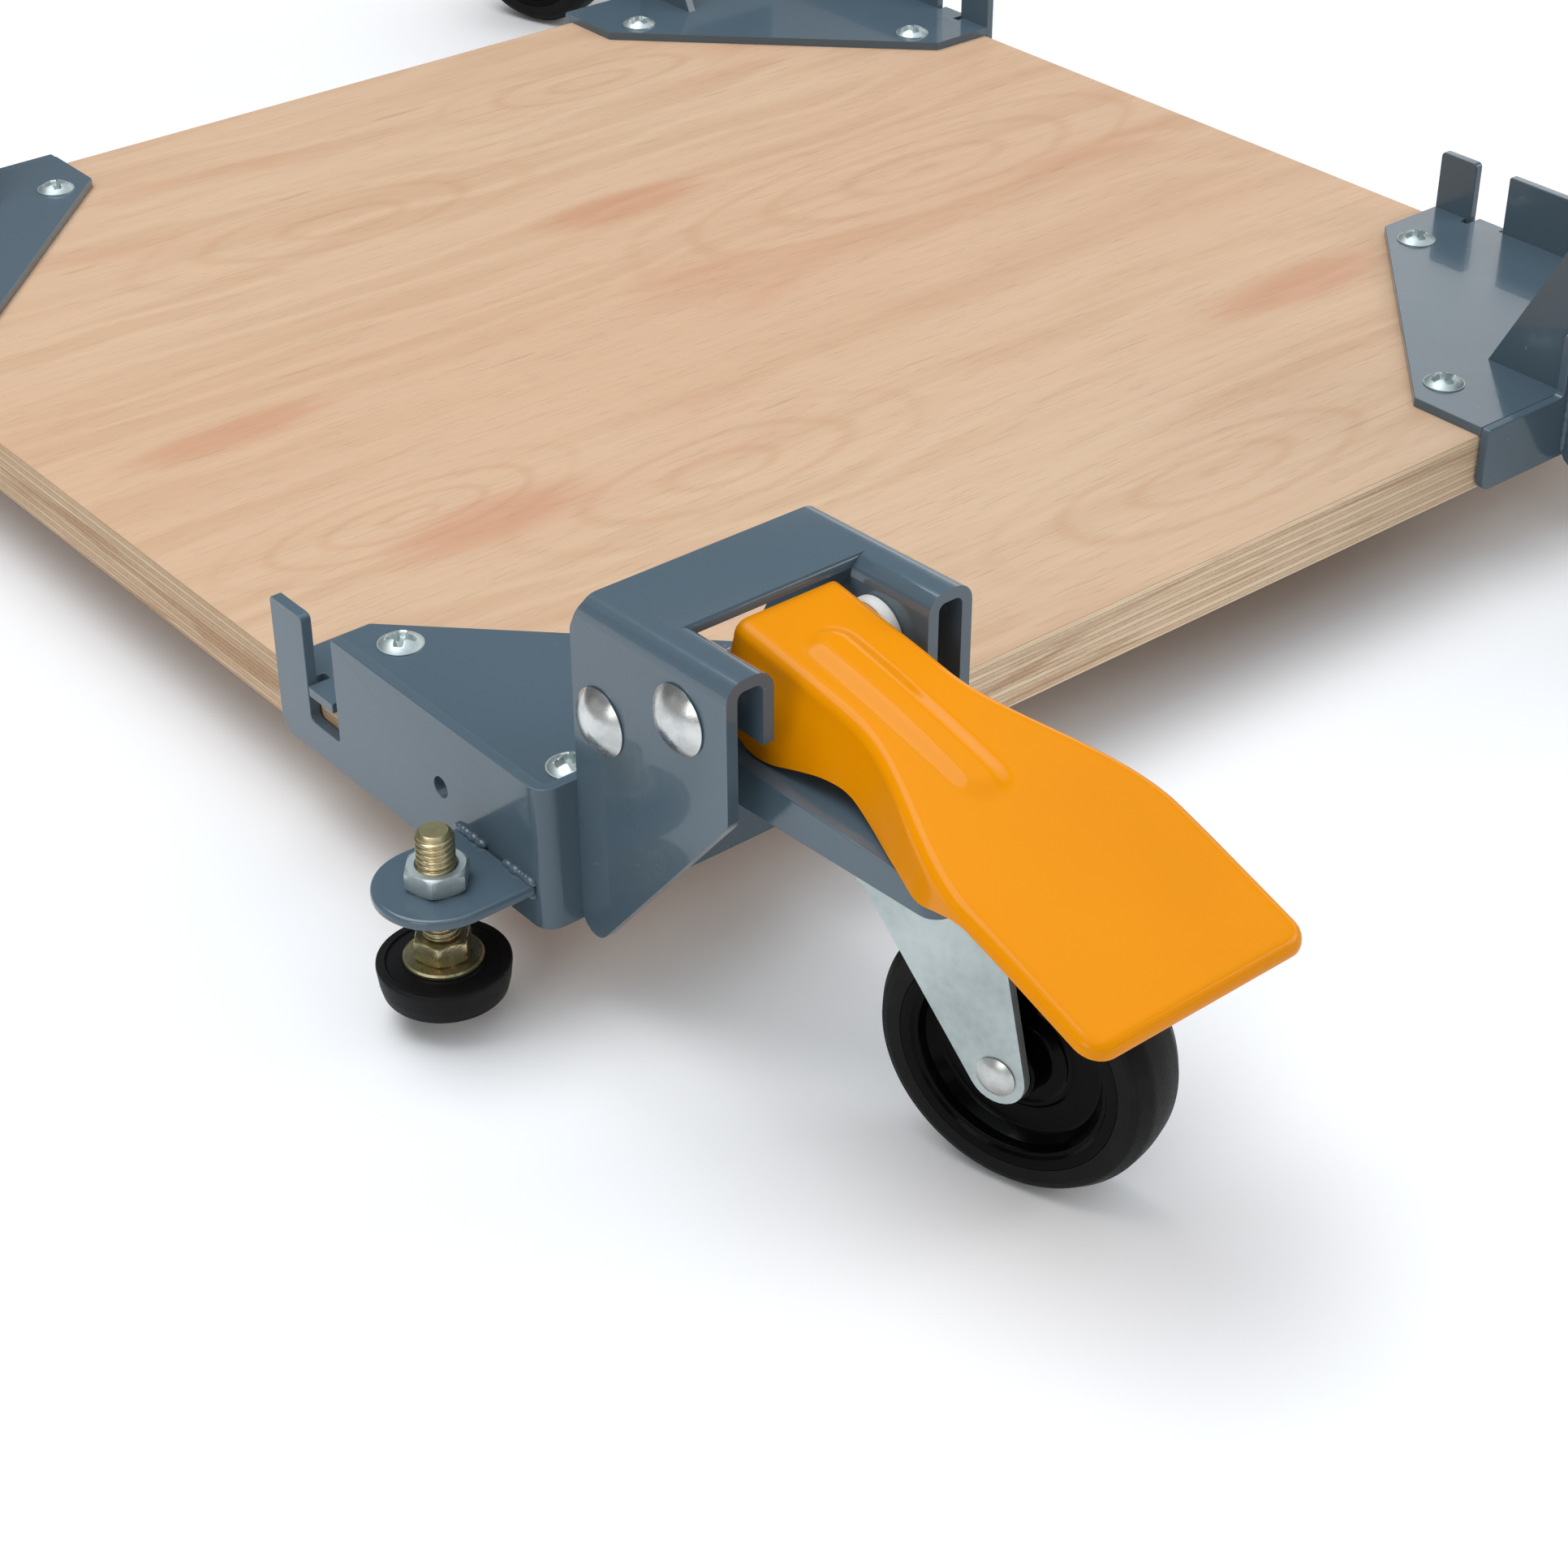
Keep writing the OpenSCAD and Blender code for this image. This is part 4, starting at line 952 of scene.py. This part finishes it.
def pedal_parts():
    """The pressed pedal: a sheet with rolled long edges, flanges that deepen to a cam, a lip and a bead."""
    s = bpy.context.scene.base_pedal
    bead_h, bead_half = s.bead_height / MM, s.bead_width / MM / 2
    length = PEDAL_PIVOT.y - PEDAL_LOW.y
    edge, tight = 3.4, 2.4
    mid = (PEDAL_LOW.x + PEDAL_HIGH.x) / 2
    wide = (PEDAL_HIGH.x - PEDAL_LOW.x) / 2
    slope_neck, slope_paddle = math.tan(math.radians(NECK_SLOPE)), math.tan(math.radians(PADDLE_SLOPE))

    def top(d):
        """Height of the top face over the pivot, d in front of it: straight, bent and straight again."""
        over = max(0.0, d - BEND_START)
        bent = min(over, BEND_LENGTH)
        turn = bent * bent / (2 * BEND_LENGTH) + over - bent
        return 10.2 - d * slope_neck - (slope_paddle - slope_neck) * turn

    def flare(d):
        return smooth_step((d - FLARE_START) / FLARE_LENGTH)

    def half(d):
        return NECK + (wide - NECK) * flare(d)

    def depth(d):
        at, deep = zip(*FLANGES)
        return float(sum(np.interp(d + k, at, deep) for k in (-2.2, 0, 2.2)) / 3)

    def lean(d):
        return LEAN * depth(d) / CAM * (1 - smooth_step((d - 9) / 70))

    def bead(x, d):
        a, b = BEAD_START + bead_half, BEAD_END - bead_half
        aside = 2 + 1.5 * (d - BEAD_START) / (BEAD_END - BEAD_START)
        reach = math.hypot(x + aside, d - max(a, min(b, d)))
        return bead_h * smooth_step((bead_half + 1.0 - reach) / 5.5)

    def normal(d):
        t = top(d + 0.5) - top(d - 0.5)
        n = math.hypot(1, t)
        return np.array([0, t / n, 1 / n])

    # Rows across the pedal: how far in front of the pivot, how far in from the side, the corner's turn
    end = length - edge
    straight = (*np.linspace(-TAIL, 30, 32), *np.linspace(31.5, 88, 46), *np.linspace(90, end - tight, 16))
    rows = [(d, 0.0, 0.0) for d in straight]
    turns = [math.pi / 2 * k / 8 for k in range(1, 9)]
    rows += [(end - tight * (1 - math.sin(a)), tight * (1 - math.cos(a)), a) for a in turns]
    columns = 40
    arc, skirt = 7, 5

    def shell(offset):
        """The outer (0) or inner (sheet) surface: its grid, and its rim from rear left round the front."""
        r = edge - offset
        grid = []
        for d, inset, _ in rows:
            h = half(d) - edge - inset
            line = []
            for k in range(columns + 1):
                x = -h + 2 * h * k / columns
                n = normal(d)
                spot = np.array([x, -d - n[1] * offset, top(d) - n[2] * offset])
                spot[2] += bead(x, d)
                line.append(spot)
            grid.append(line)
        ring, back = [], []
        for line, (d, _, a) in zip(grid, rows):
            ring.append((line[0], np.array([-math.cos(a), -math.sin(a), 0]), d, -1))
            back.append((line[-1], np.array([math.cos(a), -math.sin(a), 0]), d, 1))
        ring += [(grid[-1][k], np.array([0, -1.0, 0]), end, 0) for k in range(1, columns)]
        ring += back[::-1]
        rim = []
        for base, out, d, side in ring:
            w = flare(d)
            up = np.array([0, normal(d)[1] * w, normal(d)[2] * w + (1 - w)])
            up = up / np.linalg.norm(up)
            along = out - up * float(out @ up)
            along = along / np.linalg.norm(along)
            column = []
            for k in range(1, arc + 1):
                a = math.pi / 2 * k / arc
                column.append(base + along * r * math.sin(a) - up * r * (1 - math.cos(a)))
            start = column[-1]
            drop = max(0.2, depth(d) - offset - r)
            sway = np.array([-lean(d) if side < 0 else 0.0, 0, 0])
            for k in range(1, skirt + 1):
                column.append(start + (sway - up * drop) * k / skirt)
            rim.append(column)
        return grid, rim

    points, faces = [], []

    def add(p):
        points.append((p[0] + mid, p[1] + PEDAL_PIVOT.y, p[2] + PEDAL_PIVOT.z))
        return len(points) - 1

    sides = []
    for offset in (0.0, SHEET):
        grid, rim = shell(offset)
        g = [[add(p) for p in line] for line in grid]
        border = [line[0] for line in g] + g[-1][1:-1] + [line[-1] for line in g[::-1]]
        lines = [[border[k]] + [add(p) for p in column] for k, column in enumerate(rim)]
        sides.append((g, lines))
        quads = []
        for i in range(len(rows) - 1):
            for k in range(columns):
                quads.append((g[i][k], g[i + 1][k], g[i + 1][k + 1], g[i][k + 1]))
        for a, b in zip(lines, lines[1:]):
            for k in range(len(a) - 1):
                quads.append((a[k], a[k + 1], b[k + 1], b[k]))
        faces += [q if offset == 0 else q[::-1] for q in quads]
    (g0, outer), (g1, inner) = sides
    for a, b, c, d in zip(outer, outer[1:], inner, inner[1:]):
        faces.append((a[-1], c[-1], d[-1], b[-1]))
    rear_outer = outer[0][::-1] + g0[0][1:] + outer[-1][1:]
    rear_inner = inner[0][::-1] + g1[0][1:] + inner[-1][1:]
    for a, b, c, d in zip(rear_outer, rear_outer[1:], rear_inner, rear_inner[1:]):
        faces.append((a, b, d, c))
    return np.array(points, float), faces


def pedals():
    """The orange pedals, with their cut edges rounded."""
    points, faces = pedal_parts()
    for corner, signs in SIGNS.items():
        mirrored = signs[0] * signs[1] < 0
        piece = new_mesh(f"pedal.pressed.{corner}", placed(points, signs), faces, mirrored, 50.0)
        bevel = piece.modifiers.new("cut edges", "BEVEL")
        bevel.width = 0.5 * MM
        bevel.segments = 2
        bevel.limit_method = "ANGLE"
        bevel.angle_limit = math.radians(60)
        bevel.harden_normals = True
        baked(piece)
        dress(piece, "orange coat", f"pedal_{corner}", [f"pedal_{corner}"])


def brackets():
    """The painted sheet: walls, plates, foot brackets, housings and caster arms, with rounded paint edges."""
    r = bpy.context.scene.base_sheet.edge_round / MM
    for corner in SIGNS:
        for node, body, width in (("bracket_wall", "base", r), ("bracket_plate", "base", r * 0.8),
                                  ("foot_bracket", "base", r), ("housing", "base", r),
                                  ("arm", f"arm_{corner}", r)):
            name = f"{node.replace('_', '.')}.{corner}"
            cad_copy(f"{node}_{corner}", name, width, "blue coat", body)


# The outer faces of the bracket's two walls, in mm
WALL_FACE = -3.5


def welds():
    """Weld beads: the foot bracket and the housing's cheeks on the bracket's wall."""
    s = bpy.context.scene.base_sheet
    seam = WALL_FACE - 0.3
    top, low = BRACKET_HIGH.z + 0.3, BRACKET_LOW.z - 0.3
    lines = [[(seam, 2, top), (seam, 11, top)],
             [(seam, 22, top), (seam, 31, top)],
             [(seam, 2, low), (seam, 30, low)],
             [(HOUSING_HIGH.x + 0.3, seam, -14), (HOUSING_HIGH.x + 0.3, seam, 4)],
             [(HOUSING_LOW.x + CHEEK + 0.4, seam, -12), (HOUSING_LOW.x + CHEEK + 0.4, seam, 14)],
             [(HOUSING_HIGH.x - CHEEK - 0.4, seam, -12), (HOUSING_HIGH.x - CHEEK - 0.4, seam, 14)]]
    points, edges = [], []
    for signs in SIGNS.values():
        for line in lines:
            edges.append((len(points), len(points) + 1))
            points += [tuple(p) for p in placed(line, signs)]
    mesh = bpy.data.meshes.new("welds")
    mesh.from_pydata(points, edges, [])
    piece = bpy.data.objects.new("welds", mesh)
    bpy.context.scene.collection.objects.link(piece)
    grown(piece, weld_tree(), width=s.weld_width * 0.6, pitch=s.weld_pitch, seed=7,
          material=finish("blue coat"))
    return dress(piece, None, "base")


# Radius of the levelling stud, in mm
STUD_R = 4.75


def feet():
    """The levelling feet: rubber pads, threaded studs with a round flange and hexagon, and lock nuts."""
    s = bpy.context.scene.base_foot
    pad_top, pad_low, r = PAD_HIGH.z, PAD_LOW.z, (PAD_HIGH.x - PAD_LOW.x) / 2
    pad = fillet([(0, pad_low, 0), (r - 2.4, pad_low, 0), (r - 1.2, pad_low + 0.6, 0.9),
                  (r - 0.5, pad_low + 3.5, 4), (r, pad_top - 1.4, 0), (r, pad_top, 0.9),
                  (r - 2.2, pad_top, 0), (r - 2.6, pad_top - 0.6, 0.4), (10.2, pad_top - 0.6, 0),
                  (9.9, pad_top - 0.1, 0), (0, pad_top - 0.1, 0)], 6)
    pad = moved(turned(pad, 96), (FOOT.x, FOOT.y, 0))
    at_corners("pad.rubber", [pad], "pad", "foot", "pad", 40.0)
    flange = [(0, 0), (9.5, 0), (9.8, 0.3), (9.8, 1.0), (9.3, 1.4), (0, 1.4)]
    length = STUD_HIGH.z - pad_top
    end = [(4.3, length - 0.9), (3.7, length - 0.2), (3.4, length), (0, length)]
    parts = [moved(turned(flange, 64), (FOOT.x, FOOT.y, pad_top)),
             moved(hex_nut(12.7, 6.0, 6.0), (FOOT.x, FOOT.y, pad_top + 1.4), (0, 0, 18)),
             moved(turned(end, 64), (FOOT.x, FOOT.y, pad_top))]
    at_corners("stud.foot", parts, "yellow zinc", "foot", "stud", 30.0)
    tree = thread_tree()
    start = 7.0
    for corner, signs in SIGNS.items():
        thread = new_mesh(f"stud.thread.{corner}", [(0, 0, 0), (0, 0, MM), (MM, 0, 0)], [(0, 1, 2)])
        grown(thread, tree, radius=STUD_R * MM, length=(length - 0.6 - start) * MM, pitch=s.thread_pitch,
              depth=s.thread_depth, rows=200, sides=49, material=finish("yellow zinc"))
        spot = placed([(FOOT.x, FOOT.y, pad_top + start)], signs)[0]
        thread.data.transform(Matrix.Translation(Vector(spot)))
        dress(thread, None, f"foot_{corner}")
    nut = [moved(hex_nut(14.3, 5.6, 9.6), (FOOT.x, FOOT.y, BRACKET_HIGH.z), (0, 0, 18))]
    everywhere("nuts.lock", nut, "dull zinc", ["lock_nuts"])


def swung(part):
    """From the caster's own frame, its axle along x and its trail towards -y, to the corner frame."""
    return moved(part, (SWIVEL.x, SWIVEL.y, 0), (0, 0, math.degrees(AXLE_ANGLE)))


def casters():
    """The swivel casters: bearing, fork, riveted axle, ribbed hub and crowned tread."""
    trail = math.hypot(AXLE.x - SWIVEL.x, AXLE.y - SWIVEL.y)
    z = AXLE.z
    low = SWIVEL.z
    web = SWIVEL_HIGH.z - 1.8
    race = fillet([(0, low, 0), (13.8, low, 0), (15, low + 0.3, 0.8), (15, low + 3.4, 0.8),
                   (13.7, low + 3.9, 0.4), (13.7, low + 4.9, 0.4), (15, low + 5.4, 0.8), (15, web - 3.2, 0.8),
                   (14.2, web - 3, 0), (0, web - 3, 0)], 4)
    rivet = fillet([(0, web - 0.1, 0), (7.5, web - 0.1, 0), (7.5, web + 0.6, 0.5), (6.2, web + 1.8, 0.8),
                    (0, web + 1.8, 0)], 4)
    under = fillet([(0, low - 4.75, 0), (6.6, low - 4.75, 0.6), (7.5, low - 4.0, 0.5), (7.5, low - 2.95, 0),
                    (0, low - 2.95, 0)], 4)
    pin = [(0, low - 3.0), (4.45, low - 3.0), (4.45, low + 0.2), (0, low + 0.2)]
    swivel = [moved(turned(p, 64), (SWIVEL.x, SWIVEL.y, 0)) for p in (race, rivet, under, pin)]
    at_corners("swivel.bearing", swivel, "dull zinc", "arm", "swivel", 30.0)
    for corner in SIGNS:
        cad_copy(f"fork_{corner}", f"fork.{corner}", 0.5, "dull zinc", f"caster_{corner}", 3)
    half = 14.0
    cap = dome(4.9, 2.0, 48, 8, 0.35)
    bar = turned([(0, -half), (2.98, -half), (2.98, half), (0, half)], 36)
    axle = [moved(bar, (0, 0, 0), (0, 90, 0)), moved(cap, (half, 0, 0), (0, 90, 0)),
            moved(cap, (-half, 0, 0), (0, -90, 0))]
    axle = [swung(moved(p, (0, -trail, z))) for p in axle]
    at_corners("axle.riveted", axle, "bright zinc", "caster", "axle")
    wide, tall = 9.5, 35.0
    rim = tall - 7.5
    tread = fillet([(rim, -wide + 0.1, 0), (rim + 1.2, -wide, 0), (tall - 4.2, -wide, 0.6),
                    (tall - 2.6, -wide + 0.5, 1.4), (tall - 0.5, -wide + 4.2, 4.5), (tall, 0, 22),
                    (tall - 0.5, wide - 4.2, 4.5), (tall - 2.6, wide - 0.5, 1.4), (tall - 4.2, wide, 0.6),
                    (rim + 1.2, wide, 0), (rim, wide - 0.1, 0), (rim, 0, 0)], 6)
    tread = moved(turned(tread + tread[:1], 128), (0, 0, 0), (0, 90, 0))
    tread = swung(moved(tread, (0, -trail, z)))
    at_corners("tread.rubber", [tread], "tread", "wheel", "tread", 50.0)
    face = fillet([(3.05, 11.3, 0), (7.4, 11.3, 0.4), (8, 10.9, 0.4), (8.6, 4.4, 1.0), (12, 4.0, 0.8),
                   (12.8, 4.5, 0.4), (13.6, 4.5, 0.4), (14.4, 4.0, 0.6), (20.6, 4.0, 1.4), (22.6, 6.4, 1.2),
                   (23.4, 8.6, 0.5), (24.2, 8.6, 0.4), (24.9, 9.3, 0.3), (rim - 0.2, 9.4, 0.2),
                   (rim - 0.05, 9.2, 0)], 4)
    hub = [(r, -h) for r, h in face] + [(rim - 0.05, 0)] + face[::-1]
    hub = moved(turned(hub + hub[:1], 96), (0, 0, 0), (0, 90, 0))
    hub = swung(moved(hub, (0, -trail, z)))
    at_corners("hub.moulded", [hub], "hub", "wheel", "hub", 40.0)


def stage():
    """A pale floor, soft studio light and the camera at the photograph's angle."""
    mesh = bpy.data.meshes.new("floor")
    mesh.from_pydata([(-6, -6, 0), (6, -6, 0), (6, 6, 0), (-6, 6, 0)], [], [(0, 1, 2, 3)])
    floor = bpy.data.objects.new("floor", mesh)
    bpy.context.scene.collection.objects.link(floor)
    mesh.materials.append(finish("floor"))

    world = bpy.data.worlds.new("studio")
    bpy.context.scene.world = world
    world.use_nodes = True
    sky = Graph(world.node_tree)
    ground = next(n for n in world.node_tree.nodes if n.type == "BACKGROUND")
    x, y, z = sky.axes(sky.node("ShaderNodeTexCoord", out=0))
    sky.plug(ground.inputs["Color"], sky.blend(z.step(0.4, 0.7), (1.0, 0.99, 0.97), (0.9, 0.98, 1.07)))
    # Bright panels of the sky: overhead, to the left, to the right and in front
    over = z.step(0.66, 0.78) * 0.92
    left = (0 - x).step(0.62, 0.72) * z.step(0.02, 0.1) * z.step(0.42, 0.5, 1.0, 0.0) * 0.28
    right = x.step(0.6, 0.7) * z.step(0.06, 0.16) * z.step(0.5, 0.58, 1.0, 0.0) * 1.3
    front = (0 - y).step(0.72, 0.78) * z.step(0.16, 0.2) * z.step(0.3, 0.34, 1.0, 0.0) * 0.8
    sky.plug(ground.inputs["Strength"], over + left + right + front + 0.18)

    def light(name, place, aim, size, power, shape="RECTANGLE"):
        lamp = bpy.data.lights.new(name, "AREA")
        lamp.shape = shape
        lamp.size, lamp.size_y = size
        lamp.energy = power
        body = bpy.data.objects.new(name, lamp)
        bpy.context.scene.collection.objects.link(body)
        body.location = place
        body.rotation_euler = (Vector(aim) - Vector(place)).to_track_quat("-Z", "Y").to_euler()

    light("key", (-0.5, 0.4, 1.9), (-0.1, -0.1, 0), (1.8, 1.2), 24)
    light("fill", (-1.9, -0.9, 0.9), (-0.2, -0.25, 0.05), (0.9, 0.9), 7)
    light("side", (1.5, -1.4, 1.0), (0, -0.25, 0.05), (1.0, 0.7), 9)

    camera_data = bpy.data.cameras.new("photograph")
    camera_data.lens = 68.9056
    camera_data.sensor_width = 36
    camera_data.clip_start = 0.01
    camera = bpy.data.objects.new("photograph", camera_data)
    bpy.context.scene.collection.objects.link(camera)
    camera.location = (-0.5457661, -0.7011493, 0.4533969)
    camera.rotation_euler = (math.radians(55.8645), math.radians(0.0842), math.radians(-39.5584))
    bpy.context.scene.camera = camera
    bpy.context.scene.view_settings.view_transform = "Standard"


# Operators

class MACHINEBASE_OT_board(bpy.types.Operator):
    """Make the plywood platform"""
    bl_idname = "machinebase.board"
    bl_label = "Plywood platform"

    def execute(self, context):
        platform_board()
        return {"FINISHED"}


class MACHINEBASE_OT_brackets(bpy.types.Operator):
    """Make the painted brackets, housings, foot brackets and caster arms"""
    bl_idname = "machinebase.brackets"
    bl_label = "Painted sheet"

    def execute(self, context):
        brackets()
        return {"FINISHED"}


class MACHINEBASE_OT_welds(bpy.types.Operator):
    """Make the weld beads on the brackets"""
    bl_idname = "machinebase.welds"
    bl_label = "Weld beads"

    def execute(self, context):
        welds()
        return {"FINISHED"}


class MACHINEBASE_OT_screws(bpy.types.Operator):
    """Make the wood screws with their cross recesses"""
    bl_idname = "machinebase.screws"
    bl_label = "Wood screws"

    def execute(self, context):
        wood_screws()
        return {"FINISHED"}


class MACHINEBASE_OT_bolts(bpy.types.Operator):
    """Make the pivot bolts, their nuts, the nylon bushes and the spacer tubes"""
    bl_idname = "machinebase.bolts"
    bl_label = "Pivot bolts"

    def execute(self, context):
        bolts()
        bushes()
        return {"FINISHED"}


class MACHINEBASE_OT_pedals(bpy.types.Operator):
    """Make the pressed foot pedals"""
    bl_idname = "machinebase.pedals"
    bl_label = "Foot pedals"

    def execute(self, context):
        pedals()
        return {"FINISHED"}


class MACHINEBASE_OT_feet(bpy.types.Operator):
    """Make the levelling feet with their threads and lock nuts"""
    bl_idname = "machinebase.feet"
    bl_label = "Levelling feet"

    def execute(self, context):
        feet()
        return {"FINISHED"}


class MACHINEBASE_OT_casters(bpy.types.Operator):
    """Make the swivel casters"""
    bl_idname = "machinebase.casters"
    bl_label = "Casters"

    def execute(self, context):
        casters()
        return {"FINISHED"}


class MACHINEBASE_OT_stage(bpy.types.Operator):
    """Make the floor, the studio light and the camera"""
    bl_idname = "machinebase.stage"
    bl_label = "Studio"

    def execute(self, context):
        stage()
        return {"FINISHED"}


class MACHINEBASE_PT_panel(bpy.types.Panel):
    """Lists the sizes, the colours and the makers of the machine base"""
    bl_label = "Machine base"
    bl_idname = "MACHINEBASE_PT_panel"
    bl_space_type = "VIEW_3D"
    bl_region_type = "UI"
    bl_category = "Machine Base"

    def draw(self, context):
        scene = context.scene
        for settings in (scene.base_sheet, scene.base_pedal, scene.base_foot, scene.base_finish):
            box = self.layout.box()
            for key in settings.__annotations__:
                box.prop(settings, key)
        for operator in OPERATORS:
            self.layout.operator(operator.bl_idname)


SETTINGS = (SheetMetalSettings, PedalSettings, FootSettings, FinishSettings)
OPERATORS = (MACHINEBASE_OT_board, MACHINEBASE_OT_brackets, MACHINEBASE_OT_welds, MACHINEBASE_OT_screws,
             MACHINEBASE_OT_bolts, MACHINEBASE_OT_pedals, MACHINEBASE_OT_feet, MACHINEBASE_OT_casters,
             MACHINEBASE_OT_stage)
CLASSES = SETTINGS + OPERATORS + (MACHINEBASE_PT_panel,)


def register():
    for cls in CLASSES:
        bpy.utils.register_class(cls)
    bpy.types.Scene.base_sheet = PointerProperty(type=SheetMetalSettings)
    bpy.types.Scene.base_pedal = PointerProperty(type=PedalSettings)
    bpy.types.Scene.base_foot = PointerProperty(type=FootSettings)
    bpy.types.Scene.base_finish = PointerProperty(type=FinishSettings)


def unregister():
    for name in ("base_sheet", "base_pedal", "base_foot", "base_finish"):
        delattr(bpy.types.Scene, name)
    for cls in reversed(CLASSES):
        bpy.utils.unregister_class(cls)


def main():
    register()
    bpy.ops.machinebase.board()
    bpy.ops.machinebase.brackets()
    bpy.ops.machinebase.welds()
    bpy.ops.machinebase.screws()
    bpy.ops.machinebase.bolts()
    bpy.ops.machinebase.pedals()
    bpy.ops.machinebase.feet()
    bpy.ops.machinebase.casters()
    bpy.ops.machinebase.stage()


if __name__ == "__main__":
    main()
